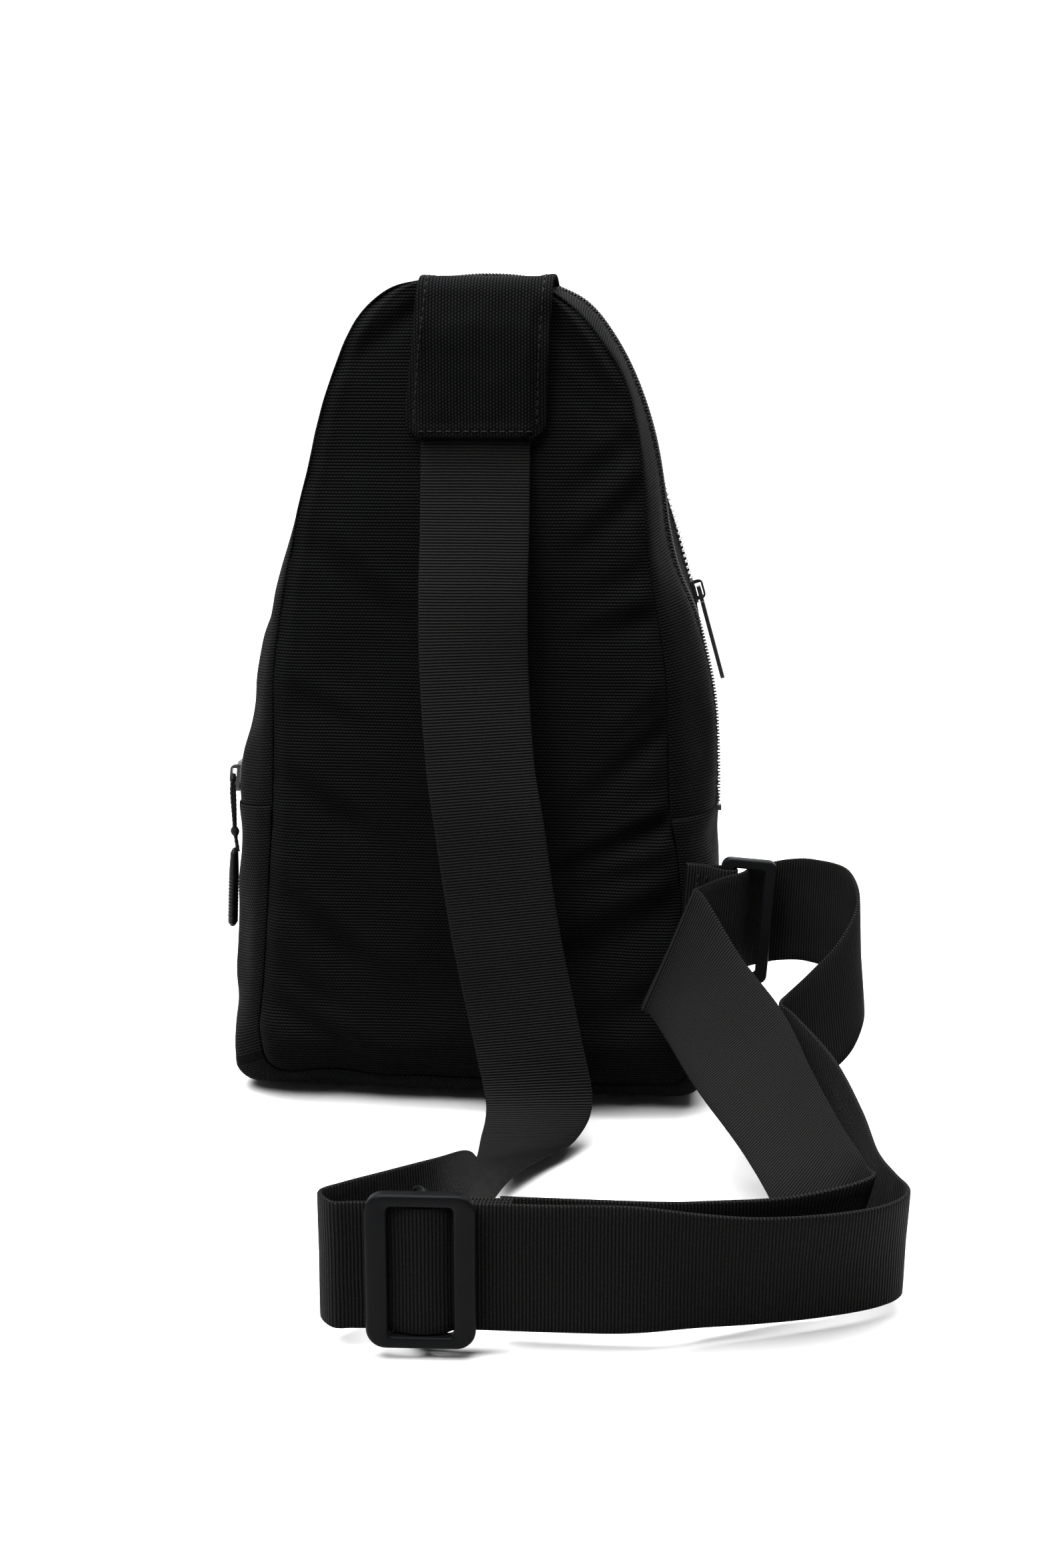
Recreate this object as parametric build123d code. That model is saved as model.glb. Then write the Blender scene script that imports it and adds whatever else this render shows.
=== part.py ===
from build123d import *
import os
from math import atan2, cos, degrees, radians

# Sling bag, millimetres. +X is to the wearer's right of the back panel as seen from behind,
# +Y goes from the back panel to the bag's front, +Z is up. The origin is on the floor,
# under the middle of the back panel's bottom edge.

# ---------------------------------------------------------------- driving dimensions
DEPTH_MID = 36.0            # plane of the main zipper
FLAT_REAR = 25.0            # the side wall runs straight across from here
FLAT_FRONT = 47.0           # to here, on both sides of the main zipper
DEPTH_FRONT = 80.0          # plane of the front seam
CORNER = 20.0               # radius of the bottom corners
SPLIT_Z = 108.0             # cross seam where the zipper strips meet the bottom gusset
GAP = 0.3                   # clearance between separate bodies
CLOTH = 1.2                 # coated oxford cloth, turned once at its edge
LINING = 0.5
FOAM = 3.0

WEBBING = 38.0              # strap width
WEB_THICK = 1.6

# Outlines of the bag in planes parallel to the back panel: half widths at the corner, the
# top of the straight side, the shoulder and the crown, with their heights, the outward bow of
# the shoulder and crown arcs, and how far the soft body leans to one side.
BACK = dict(base=82, side=73.5, shoulder=52, crown=23, side_z=160, shoulder_z=276, top=303,
            bow=1.5, crown_bow=4.0, lean=0.0)
MIDDLE = dict(base=101.8, side=88.5, shoulder=57, crown=24, side_z=160, shoulder_z=272,
              top=301, bow=0.5, crown_bow=4.0, lean=-4.0)
FRONT = dict(base=89, side=84, shoulder=44, crown=20, side_z=150, shoulder_z=262, top=284,
             bow=5.0, crown_bow=3.0, lean=0.0)

# Main zipper: two nylon coils either side of the zipper plane, on woven tapes.
COIL = 2.4
COIL_GAP = 1.2
COIL_OUT = 1.0              # how far the coil stands out of the cloth
TAPE = 0.5                  # woven zipper tape, under the cloth's edge
MAIN_TAPE_IN = 26.0
MAIN_TAPE_OUT = 46.0
MAIN_CLOTH_EDGE = 6.0       # cloth edge to the zipper plane
MAIN_START_Z = 118.0

# Front pocket zipper: metal teeth, facing sideways beside the front seam.
POCKET_PLANE = 75.7
POCKET_SPLIT_Z = 180.0
TOOTH = 1.6
TOOTH_GAP = 1.0
TOOTH_OUT = 0.9
POCKET_CLOTH_EDGE = 5.2
POCKET_START_Z = 188.0

# Zipper sliders and pulls, each in its slider's frame: x out of the cloth, z along the zipper.
MAIN_SLIDER = dict(half_width=4.7, half_length=6.0, post=0.7)
POCKET_SLIDER = dict(half_width=3.9, half_length=5.0, post=0.5)
TOP_PLATE = 1.4             # thickness of the plate over the zipper
TOP_PLATE_X = 2.5
LOW_PLATE = 1.2             # thickness of the plate under it
LOW_PLATE_X = -3.1
PLATE_ROUND = 2.0
POST_TALL = 4.8             # wedge that joins the two plates
POST_LONG = 2.4
POST_X = -0.4
POST_BACK = 1.6
BRIDGE = (3.6, 2.4, 8.0)    # hoop that holds the pull
BRIDGE_X = 4.9
BRIDGE_EYE = (2.4, 4.0, 5.2)
BRIDGE_EYE_X = 4.6
PULL_X = 4.7                # axis that a pull swings about
CORD_RADIUS = 0.8
CORD_REACH = 2.3
CORD_DROP = 30.0
CORD_BEND = 1.9
GRIP = (4.4, 7.0, 33.0)
GRIP_ROUND = 1.8
TAB_X = 4.6
TAB_BLADE = (1.6, 8.0, 33.0)
TAB_BLADE_Z = -20.5
TAB_HEAD = (1.6, 7.0, 8.8)
TAB_HEAD_Z = -3.0
TAB_EYE = (4.0, 3.6, 5.2)
TAB_EYE_Z = -2.4

# Yoke over the crown: depth and height of each layer's bend, its hems and its width.
YOKE_OUTER = dict(front=-5.6, rise=305.6, thickness=CLOTH, low=251.0, back=19.0, width=49.0)
YOKE_INNER = dict(front=-1.6, rise=303.8, thickness=1.0, low=252.0, back=18.0, width=47.0)
YOKE_BEND = 2.5
YOKE_FALL = 1.0             # the top slopes down towards the front by this much

# Hardware on the strap.
RING_HEIGHT = 47.0
RING_WIDTH = 20.4
RING_BAR = 4.4
RING_THICK = 3.6
RING_END = 3.5
RING_ROUND = 3.4
RING_WINDOW_ROUND = 1.2
RING_AXIS = (91.0, -3.0, 76.0)
RING_TILT = 4.0
TAB_ROUND = 2.6             # bend of the webbing tab round the ring's bar
TAB_HOLE_ROUND = 0.5
TAIL_LENGTH = 12.0          # stretch of the tab between the ring and the seam
TAIL_X = -9.0
TAIL_Y = 1.4
GLIDE_HEIGHT = 47.0
GLIDE_WIDTH = 31.5
GLIDE_BAR = 6.3
GLIDE_END = 3.6
GLIDE_THICK = 3.5
GLIDE_ROUND = 6.0
GLIDE_WINDOW_ROUND = 1.4
GLIDE_FRONT = 1.1           # clearance from the frame's back face to the strap's middle
GLIDE_ORIGIN = (5.5, -184.3, 24.0)
GLIDE_TURN = degrees(atan2(0.055, 1.0))
LUG_SIZE = 6.8              # the lugs reach back to the middle bar
LUG_Y = 1.6
MIDDLE_BAR = (5.0, 2.2, GLIDE_HEIGHT - 2.0)
MIDDLE_BAR_Y = 3.9
LOOP_OUTER = (8.6, 5.6, WEBBING)
LOOP_HOLE = (5.2, 2.4, WEBBING + 2.0)
LOOP_ROUND = 2.4
LOOP_TAIL = (23.0, 2 * WEB_THICK, WEBBING)
LOOP_TAIL_X = 14.5
LOOP_TAIL_Y = 2.7
SOFT_EDGE = 0.8             # rounding of the moulded pieces' front edges

CUT = 900.0                 # size of the blocks used to cut the body, larger than the bag

os.makedirs("parts", exist_ok=True)


def save(name, shape):
    """Write one named piece."""
    export_step(shape, f"parts/{name}.step")


# ---------------------------------------------------------------- the bag's outline
def outline_sizes(y):
    """Outline sizes in the plane at depth y, in between the three given outlines."""
    if y <= FLAT_FRONT:
        near, far, t = BACK, MIDDLE, min(y / FLAT_REAR, 1.0)
    else:
        near, far, t = MIDDLE, FRONT, (y - FLAT_FRONT) / (DEPTH_FRONT - FLAT_FRONT)
    return {key: near[key] + (far[key] - near[key]) * t for key in near}


def bowed(start, end, bow):
    """Point that an arc from start to end passes, bow to the right of the chord."""
    dx = end[0] - start[0]
    dz = end[1] - start[1]
    length = (dx * dx + dz * dz) ** 0.5
    return ((start[0] + end[0]) / 2 + bow * dz / length,
            (start[1] + end[1]) / 2 - bow * dx / length)


def half_outline(y, inset=0.0):
    """Named points (x, z) of the right half, without the lean."""
    s = outline_sizes(y)
    foot = (s["base"] - CORNER, inset)
    corner = (s["base"] - inset, CORNER)
    side = (s["side"] - inset, s["side_z"])
    shoulder = (s["shoulder"] - inset, s["shoulder_z"] - inset * 0.4)
    crown = (s["crown"] - inset * 0.4, s["top"] - inset)
    reach = (CORNER - inset) * cos(radians(45))
    return dict(foot=foot, corner=corner, side=side, shoulder=shoulder, crown=crown,
                foot_mid=(foot[0] + reach, CORNER - reach),
                bow=bowed(side, shoulder, s["bow"]),
                crown_bow=bowed(shoulder, crown, s["crown_bow"]), lean=s["lean"])


def side_edges(y, inset, sign):
    """Edges of one side from the foot to the crown."""
    p = half_outline(y, inset)

    def at(name):
        return (sign * p[name][0] + p["lean"], y, p[name][1])

    return [ThreePointArc(at("foot"), at("foot_mid"), at("corner")),
            Line(at("corner"), at("side")),
            ThreePointArc(at("side"), at("bow"), at("shoulder")),
            ThreePointArc(at("shoulder"), at("crown_bow"), at("crown"))]


def outline(y, inset=0.0):
    """Closed face of the bag's outline at depth y, inset all round."""
    right = side_edges(y, inset, 1)
    left = side_edges(y, inset, -1)
    bottom = Line(left[0] @ 0, right[0] @ 0)
    top = Line(right[-1] @ 1, left[-1] @ 1)
    return Face(Wire([bottom, *right, top, *left]))


def solid_between(y0, y1, inset):
    """Solid body between two depths, following the bag's outer form."""
    depths = [y0] + [y for y in (FLAT_REAR, FLAT_FRONT) if y0 < y < y1] + [y1]
    return loft([outline(y, inset) for y in depths], ruled=True)


def band(y0, y1, outer, inner, low=None, high=None):
    """Strip of the bag's side wall between two depths and two insets, cut at two heights."""
    strip = solid_between(y0, y1, outer) - solid_between(y0 - 0.5, y1 + 0.5, inner)
    return cut_heights(strip, low, high)


def cut_heights(shape, low=None, high=None):
    """Keep what lies between two heights."""
    if low is not None:
        shape = shape - Pos(0, 0, low - CUT / 2) * Box(CUT, CUT, CUT)
    if high is not None:
        shape = shape - Pos(0, 0, high + CUT / 2) * Box(CUT, CUT, CUT)
    return shape


def panel(y0, thickness, inset, low=None, high=None):
    """Flat sheet of the outline at depth y0."""
    sheet = extrude(outline(y0, inset), amount=thickness, dir=(0, 1, 0))
    return cut_heights(sheet, low, high)


def side_point(y, z, sign):
    """Point of the outer form at depth y and height z, and the wall's upward direction there."""
    p = half_outline(y)
    edge = side_edges(y, 0.0, sign)[1 if z <= p["side"][1] else 2]
    low, high = 0.0, 1.0
    for _ in range(30):
        mid = (low + high) / 2
        low, high = (mid, high) if (edge @ mid).Z < z else (low, mid)
    return edge @ low, edge % low


# ---------------------------------------------------------------- fabric body
def fabric_nodes():
    """Cloth panels, gussets, lining, foam and bindings."""
    rear_edge = DEPTH_MID - MAIN_CLOTH_EDGE
    front_edge = DEPTH_MID + MAIN_CLOTH_EDGE
    upper = SPLIT_Z + GAP
    pocket_edge = POCKET_PLANE - POCKET_CLOTH_EDGE
    strip = band(front_edge, DEPTH_FRONT, 0, CLOTH, low=upper)
    pocket_slot = Pos(0, pocket_edge + CUT / 2, POCKET_SPLIT_Z + CUT / 2) * Box(CUT, CUT, CUT)
    return {
        "back_panel": panel(0, 1.0, 0),
        "back_foam": panel(1.0, FOAM, 3.0),
        "back_lining": panel(1.0 + FOAM, LINING, 3.0),
        "inner_slip_pocket": cut_heights(panel(5.0, LINING, 9.0), low=60, high=170),
        "gusset_lower": band(1.0, DEPTH_FRONT, 0, CLOTH, high=SPLIT_Z),
        "gusset_lining": band(5.0, DEPTH_FRONT - 2, CLOTH, CLOTH + LINING, high=SPLIT_Z - 2),
        "gusset_rear_strip": band(1.0, rear_edge, 0, CLOTH, low=SPLIT_Z),
        "gusset_front_strip": strip - pocket_slot,
        "back_seam_binding": band(5.0, 9.0, CLOTH + LINING, CLOTH + LINING + 0.8),
        "front_seam_binding": band(64.0, 68.0, CLOTH + 0.2, CLOTH + 1.0, low=upper + 1),
        "front_lower_panel": panel(DEPTH_FRONT, 1.0, 0, high=SPLIT_Z),
        "front_pocket_panel": panel(DEPTH_FRONT + GAP, 1.0, 0, low=upper),
        "pocket_back_lining": panel(DEPTH_FRONT - 3.0, LINING, 5.5, low=upper + 2),
    }


def tape(y0, y1, low):
    """Woven zipper tape, just under the cloth."""
    return band(y0, y1, CLOTH + 0.1, CLOTH + 0.1 + TAPE, low=low)


def main_zipper_nodes():
    """Tapes, coils and end stops of the main zipper."""
    inner = DEPTH_MID - COIL_GAP / 2
    outer = DEPTH_MID + COIL_GAP / 2
    stop_z = SPLIT_Z + 2.0
    stops = []
    for sign in (-1, 1):
        point, _ = side_point(DEPTH_MID, stop_z, sign)
        stops.append(Pos(point.X, inner - 1.6, stop_z) * Box(1.8, 3.2, 2.0))
    return {
        "zip_tape_rear": tape(MAIN_TAPE_IN, inner, SPLIT_Z),
        "zip_tape_front": tape(outer, MAIN_TAPE_OUT, SPLIT_Z + GAP),
        "zip_coil_rear": band(inner - COIL, inner, -COIL_OUT, CLOTH, low=SPLIT_Z + 4),
        "zip_coil_front": band(outer, outer + COIL, -COIL_OUT, CLOTH, low=MAIN_START_Z - 1),
        "zip_end_stops": Compound(children=stops),
    }


def pocket_zipper_nodes():
    """Tapes and metal teeth of the front pocket's zipper."""
    inner = POCKET_PLANE - TOOTH_GAP / 2
    outer = POCKET_PLANE + TOOTH_GAP / 2
    low = POCKET_SPLIT_Z + GAP
    teeth_low = POCKET_START_Z - 4
    return {
        "pocket_tape_rear": tape(POCKET_PLANE - POCKET_CLOTH_EDGE - 2, inner, low),
        "pocket_tape_front": tape(outer, DEPTH_FRONT, low),
        "pocket_teeth_rear": band(inner - TOOTH, inner, -TOOTH_OUT, CLOTH, low=teeth_low),
        "pocket_teeth_front": band(outer, outer + TOOTH, -TOOTH_OUT, CLOTH, low=teeth_low),
    }


# ---------------------------------------------------------------- sliders and pulls
def slider_body(half_width, half_length, post):
    """Zipper slider: two plates, the wedge between them and the hoop on top."""
    def plate(x, thickness):
        sheet = Pos(x, 0, 0) * Box(thickness, 2 * half_width, 2 * half_length)
        return fillet(sheet.edges().filter_by(Axis.X), PLATE_ROUND)

    wedge = Pos(POST_X, 0, POST_BACK - half_length) * Box(POST_TALL, post, POST_LONG)
    bridge = Pos(BRIDGE_X, 0, 0) * Box(*BRIDGE)
    bridge = fillet(bridge.edges().filter_by(Axis.Y).sort_by(Axis.X)[-2:], PLATE_ROUND)
    bridge = bridge - Pos(BRIDGE_EYE_X, 0, 0) * Box(*BRIDGE_EYE)
    return plate(TOP_PLATE_X, TOP_PLATE) + plate(LOW_PLATE_X, LOW_PLATE) + wedge + bridge


def wall_plane(y, z, sign):
    """Plane on the side wall: local x points out of the cloth, local z up along it."""
    point, up = side_point(y, z, sign)
    out = Vector(sign * up.Z, 0, -sign * up.X)
    return Plane(origin=point, x_dir=out, z_dir=up)


def main_pull():
    """Cord loop and moulded grip, hanging below the slider's bridge, in the slider's frame."""
    start = (PULL_X, -CORD_REACH, -CORD_DROP)
    path = FilletPolyline(start, (PULL_X, -CORD_REACH, 0), (PULL_X, CORD_REACH, 0),
                          (PULL_X, CORD_REACH, -CORD_DROP), radius=CORD_BEND)
    cord = sweep(Plane(origin=start, z_dir=(0, 0, 1)) * Circle(CORD_RADIUS), path)
    grip = Pos(PULL_X, 0, -CORD_DROP - GRIP[2] / 2) * Box(*GRIP)
    grip = fillet(grip.edges(), GRIP_ROUND)
    return cord, grip


def pocket_pull():
    """Flat tab with a ring head, in the slider's frame."""
    head = Pos(TAB_X, 0, TAB_HEAD_Z) * Box(*TAB_HEAD) - Pos(TAB_X, 0, TAB_EYE_Z) * Box(*TAB_EYE)
    blade = Pos(TAB_X, 0, TAB_BLADE_Z) * Box(*TAB_BLADE)
    return head + fillet(blade.edges().filter_by(Axis.X), PLATE_ROUND)


def puller_nodes():
    """Both sliders with their pulls, in place on the bag."""
    main_at = wall_plane(DEPTH_MID, MAIN_START_Z, -1)
    pocket_at = wall_plane(POCKET_PLANE, POCKET_START_Z, 1)
    cord, grip = main_pull()
    return {
        "main_slider": main_at * slider_body(**MAIN_SLIDER),
        "main_pull_cord": main_at * cord,
        "main_pull_grip": main_at * grip,
        "pocket_slider": pocket_at * slider_body(**POCKET_SLIDER),
        "pocket_pull_tab": pocket_at * pocket_pull(),
    }


# ---------------------------------------------------------------- yoke over the crown
def yoke_layer(front, rise, thickness, low, back, width):
    """One cloth layer of the yoke: down the back panel, over the crown, onto the gusset."""
    spine = FilletPolyline((0, front, low), (0, front, rise), (0, back, rise - YOKE_FALL),
                           radius=YOKE_BEND)
    plate = offset_strip(spine, thickness)
    return extrude(plate, amount=width / 2, dir=(1, 0, 0), both=True)


def offset_strip(spine, thickness):
    """Flat strip of the given thickness along a line in the plane across X."""
    outer = offset(spine, amount=thickness, side=Side.LEFT, closed=True)
    return make_face(outer.edges())


def yoke_nodes():
    """Outer and inner yoke cloth, with the strap's end sewn in between."""
    return {"yoke_outer": yoke_layer(**YOKE_OUTER), "yoke_inner": yoke_layer(**YOKE_INNER)}


# ---------------------------------------------------------------- shoulder strap
# Crossings of the strap, each from its first edge to its second, in order from the end sewn
# into the yoke to the end beside the adjuster.
STRAP = [
    ((-19, -3.9, 270), (19, -3.9, 270)),
    ((-19, -4.0, 250), (19, -4.0, 250)),
    ((-18.8, -10, 217), (19.2, -10, 217)),
    ((-18.5, -17, 194), (19, -14, 194)),
    ((-17.5, -22, 166), (19.5, -15, 167)),
    ((-15, -26, 135), (22, -20, 137)),
    ((-12, -28, 114), (25.5, -23, 117)),
    ((-6, -29, 74), (31.5, -25, 78)),
    ((2.5, -31, 33), (40, -28, 37)),
    ((6.5, -38, 13), (44, -33, 15)),
    ((8, -60, 7), (44, -48, 4)),
    ((12, -88, 12), (40, -63, 3)),
    ((16, -110, 23), (30, -78, 3)),
    ((16, -128, 35), (20, -102, 5)),
    ((6, -150, 41.5), (7, -141, 5)),
    ((-9, -165, 43), (-9, -162, 5)),
    ((-19, -173, 43), (-19, -172, 5)),
    ((-24.5, -179, 43), (-24.5, -179, 5)),
    ((-20, -185.7, 43), (-20, -185.7, 5)),
    ((-14, -185.4, 43), (-14, -185.4, 5)),
    ((64, -181.1, 43), (64, -181.1, 5)),
    ((84, -180.8, 41.5), (84, -174, 4)),
    ((100, -179, 40.2), (100, -168.5, 3)),
    ((118, -174, 39.5), (117.5, -161.5, 2)),
    ((134, -166.5, 39), (134, -154, 1.7)),
    ((142.5, -158.5, 38.8), (143, -147, 1.6)),
    ((144.8, -151, 38.8), (145, -140.5, 1.6)),
    ((141.8, -142, 39), (141.5, -132.5, 1.8)),
    ((137.7, -128, 40), (136, -119, 3)),
    ((134.5, -105, 44), (131.5, -97, 7)),
    ((127.5, -78, 50.5), (124.5, -73, 13)),
    ((115.5, -54, 57), (115.5, -56, 19)),
    ((111.2, -48.5, 59), (111.8, -51, 21)),
    ((114, -43, 61), (115.5, -46.5, 23)),
    ((122, -39, 68), (125.5, -46.5, 31)),
    ((132, -33.5, 78), (136.5, -41.5, 41)),
    ((138.5, -23, 89), (141, -30, 52)),
    ((135.5, -9, 97), (136, -13, 59)),
    ((124, 1, 98), (123.5, 0, 60)),
    ((115, 4.2, 97), (113.5, 4.2, 59)),
    ((107, 4.0, 95.3), (104.5, 4.0, 57.3)),
    ((101.5, -0.5, 95), (99, -0.5, 57)),
    ((97.8, -7, 94.5), (95, -7, 56.5)),
    ((91, -10.5, 93.5), (87, -11.5, 55.5)),
    ((83, -11, 90), (66, -17, 47.5)),
    ((80.5, -13.8, 89), (62.5, -20, 46)),
    ((84, -16.8, 87.5), (66, -23.5, 45)),
    ((97, -36, 71.5), (72.5, -47, 44)),
    ((111, -64, 61), (83, -76, 38)),
    ((120, -91, 50), (97.5, -112, 32)),
    ((127.5, -116, 43), (107, -137, 25)),
    ((131.8, -132, 41), (113, -146, 13)),
    ((134, -139.5, 39.5), (122, -144, 2.6)),
    ((135.8, -143.3, 39.3), (125, -147.5, 2.4)),
    ((133, -147.2, 39.1), (122.5, -151, 2.2)),
    ((124, -154, 39), (117, -153.5, 2)),
    ((107.6, -163.5, 39.5), (106, -157.5, 2)),
    ((87, -170, 40.5), (87, -166.5, 3)),
    ((72, -173, 41), (72, -172.5, 4)),
    ((38, -173.6, 41), (38, -173.6, 4)),
]


def strap():
    """The shoulder strap: one length of webbing, ruled between its crossings."""
    firsts = [Vector(*a) for a, _ in STRAP]
    seconds = [Vector(*b) for _, b in STRAP]
    centres = [(a + b) * 0.5 for a, b in zip(firsts, seconds)]
    length = sum((b - a).length for a, b in zip(centres, centres[1:]))
    print(f"strap length {length:.0f} mm, {len(STRAP)} crossings")
    sections = []
    for i, (first, second) in enumerate(zip(firsts, seconds)):
        along = centres[min(i + 1, len(centres) - 1)] - centres[max(i - 1, 0)]
        across = (second - first).normalized()
        lift = along.cross(across).normalized() * (WEB_THICK / 2)
        corners = [first + lift, second + lift, second - lift, first - lift]
        sections.append(Wire.make_polygon(corners, close=True))
    return Solid.make_loft(sections, ruled=True)


def ring_location():
    """Place of the rectangular ring: its near bar's axis, tipped in the plane of the back."""
    return Location(RING_AXIS, (0, RING_TILT, 0))


def ring():
    """Moulded rectangular ring."""
    middle = (RING_WIDTH - RING_BAR) / 2
    body = Pos(middle, 0, 0) * Box(RING_WIDTH, RING_THICK, RING_HEIGHT)
    body = fillet(body.edges().filter_by(Axis.Y), RING_ROUND)
    window = Box(RING_WIDTH - 2 * RING_BAR, 2 * RING_THICK, RING_HEIGHT - 2 * RING_END)
    window = fillet(window.edges().filter_by(Axis.Y), RING_WINDOW_ROUND)
    body = body - Pos(middle, 0, 0) * window
    return ring_location() * fillet(body.edges().group_by(Axis.Y)[0], SOFT_EDGE)


def ring_tab():
    """Webbing tab folded round the ring's near bar and sewn into the side seam."""
    inner_x = RING_BAR / 2 + GAP
    inner_y = RING_THICK / 2 + GAP
    outer = Box(2 * (inner_x + WEB_THICK), 2 * (inner_y + WEB_THICK), WEBBING)
    outer = fillet(outer.edges().filter_by(Axis.Z), TAB_ROUND)
    hole = Box(2 * inner_x, 2 * inner_y, 2 * WEBBING)
    hole = fillet(hole.edges().filter_by(Axis.Z), TAB_HOLE_ROUND)
    tail = Pos(TAIL_X, TAIL_Y, 0) * Box(TAIL_LENGTH, 2 * WEB_THICK, WEBBING)
    return ring_location() * ((outer + tail) - hole)


def glide_location():
    """Place of the adjuster on the front run of the strap."""
    return Location(GLIDE_ORIGIN, (0, 0, GLIDE_TURN))


def tri_glide():
    """Three-bar adjuster: outer frame before the strap, middle bar behind it."""
    frame = Pos(0, -GLIDE_FRONT - GLIDE_THICK / 2, 0) * Box(GLIDE_WIDTH, GLIDE_THICK, GLIDE_HEIGHT)
    frame = fillet(frame.edges().filter_by(Axis.Y), GLIDE_ROUND)
    window = Box(GLIDE_WIDTH - 2 * GLIDE_BAR, GLIDE_WIDTH, GLIDE_HEIGHT - 2 * GLIDE_END)
    window = fillet(window.edges().filter_by(Axis.Y), GLIDE_WINDOW_ROUND)
    frame = frame - window
    frame = fillet(frame.edges().group_by(Axis.Y)[0], SOFT_EDGE)
    lug_z = (GLIDE_HEIGHT - GLIDE_END) / 2
    for side in (-1, 1):
        frame = frame + Pos(0, LUG_Y, side * lug_z) * Box(LUG_SIZE, LUG_SIZE, GLIDE_END)
    bar = Pos(0, MIDDLE_BAR_Y, 0) * Box(*MIDDLE_BAR)
    bar = fillet(bar.edges().filter_by(Axis.Z), SOFT_EDGE)
    return glide_location() * (frame + bar)


def strap_end_loop():
    """The strap's last end, passed round the adjuster's middle bar and sewn to itself."""
    outer = Pos(0, MIDDLE_BAR_Y, 0) * Box(*LOOP_OUTER)
    outer = fillet(outer.edges().filter_by(Axis.Z).group_by(Axis.X)[0], LOOP_ROUND)
    hole = Pos(0, MIDDLE_BAR_Y, 0) * Box(*LOOP_HOLE)
    tail = Pos(LOOP_TAIL_X, LOOP_TAIL_Y, 0) * Box(*LOOP_TAIL)
    return glide_location() * ((outer + tail) - hole)


def strap_nodes():
    """Strap, ring, tab and adjuster."""
    return {"shoulder_webbing": strap(), "rectangular_ring": ring(), "ring_tab": ring_tab(),
            "tri_glide": tri_glide(), "strap_end_loop": strap_end_loop()}


# ---------------------------------------------------------------- write every piece
def main():
    """Build and export the whole bag."""
    groups = (fabric_nodes(), main_zipper_nodes(), pocket_zipper_nodes(), puller_nodes(),
              yoke_nodes(), strap_nodes())
    for group in groups:
        for name, shape in group.items():
            save(name, shape)
    for name, y, z, sign in (("main", DEPTH_MID, MAIN_START_Z, -1),
                             ("pocket", POCKET_PLANE, POCKET_START_Z, 1)):
        plane = wall_plane(y, z, sign)
        pivot = plane.origin + plane.x_dir * PULL_X
        print(name, "zipper: along", plane.z_dir, "pull pivot", pivot)


main()
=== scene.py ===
import math

import bpy
import numpy as np
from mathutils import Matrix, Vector, noise


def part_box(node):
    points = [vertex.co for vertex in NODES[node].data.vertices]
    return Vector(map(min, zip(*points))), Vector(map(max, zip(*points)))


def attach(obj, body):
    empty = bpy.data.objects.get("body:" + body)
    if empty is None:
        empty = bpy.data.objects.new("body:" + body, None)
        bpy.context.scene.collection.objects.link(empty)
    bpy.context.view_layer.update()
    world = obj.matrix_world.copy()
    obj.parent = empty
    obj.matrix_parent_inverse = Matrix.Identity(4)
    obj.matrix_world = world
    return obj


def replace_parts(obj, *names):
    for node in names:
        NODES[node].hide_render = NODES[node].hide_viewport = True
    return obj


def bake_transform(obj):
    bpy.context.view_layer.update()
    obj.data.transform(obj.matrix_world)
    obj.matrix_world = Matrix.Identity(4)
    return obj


# Sling bag. Shapes are worked out in millimetres and turned into metres when a mesh is made.
# +X is to the right of the back panel, +Y goes to the bag's front, +Z is up.

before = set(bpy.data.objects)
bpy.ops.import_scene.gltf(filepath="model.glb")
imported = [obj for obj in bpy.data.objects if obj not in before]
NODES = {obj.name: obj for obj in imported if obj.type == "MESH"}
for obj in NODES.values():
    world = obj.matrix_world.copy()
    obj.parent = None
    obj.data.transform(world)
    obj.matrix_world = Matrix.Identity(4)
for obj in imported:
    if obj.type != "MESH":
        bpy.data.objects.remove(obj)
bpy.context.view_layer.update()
MM = 0.001


# ---------------------------------------------------------------- small curve tools
def smooth_curve(points, count):
    """Catmull-Rom curve through the points, as count points evenly spaced along it."""
    p = np.array(points, float)
    p = np.vstack([2 * p[0] - p[1], p, 2 * p[-1] - p[-2]])
    t = np.linspace(0, 1, 12, endpoint=False)[:, None]
    out = []
    for i in range(1, len(p) - 2):
        a, b, c, d = p[i - 1], p[i], p[i + 1], p[i + 2]
        out.append(0.5 * (2 * b + (c - a) * t + (2 * a - 5 * b + 4 * c - d) * t ** 2
                          + (3 * b - a - 3 * c + d) * t ** 3))
    out.append(p[-2][None])
    return even(np.vstack(out), count)


def lengths(line):
    """Distance along a line at each of its points."""
    return np.concatenate([[0], np.cumsum(np.linalg.norm(np.diff(line, axis=0), axis=1))])


def at_distance(values, along, at):
    """Rows of values, which belong to the distances along, at other distances."""
    return np.stack([np.interp(at, along, column) for column in values.T], axis=1)


def even(line, count):
    """The line again as count points evenly spaced along it."""
    along = lengths(line)
    return at_distance(line, along, np.linspace(0, along[-1], count))


def ease(x):
    """Smooth step from 0 to 1."""
    x = np.clip(x, 0, 1)
    return x * x * (3 - 2 * x)


def hill(x, centre, width):
    """Smooth bump of height 1."""
    return np.exp(-((x - centre) / width) ** 2)


def unit(v):
    """Vectors of length 1."""
    return v / np.maximum(np.linalg.norm(v, axis=-1, keepdims=True), 1e-9)


def rough(points, size, seed=0.0):
    """Soft noise from -1 to 1 at each point, with lumps of about that size."""
    shift = Vector((seed, seed * 0.7, -seed))
    return np.array([noise.noise(Vector(p) / size + shift) for p in points.reshape(-1, 3)]
                    ).reshape(points.shape[:-1])


def grid_normals(p):
    """Unit normals of a grid of points."""
    du = np.gradient(p, axis=0)
    dv = np.gradient(p, axis=1)
    return unit(np.cross(du, dv))


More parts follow.
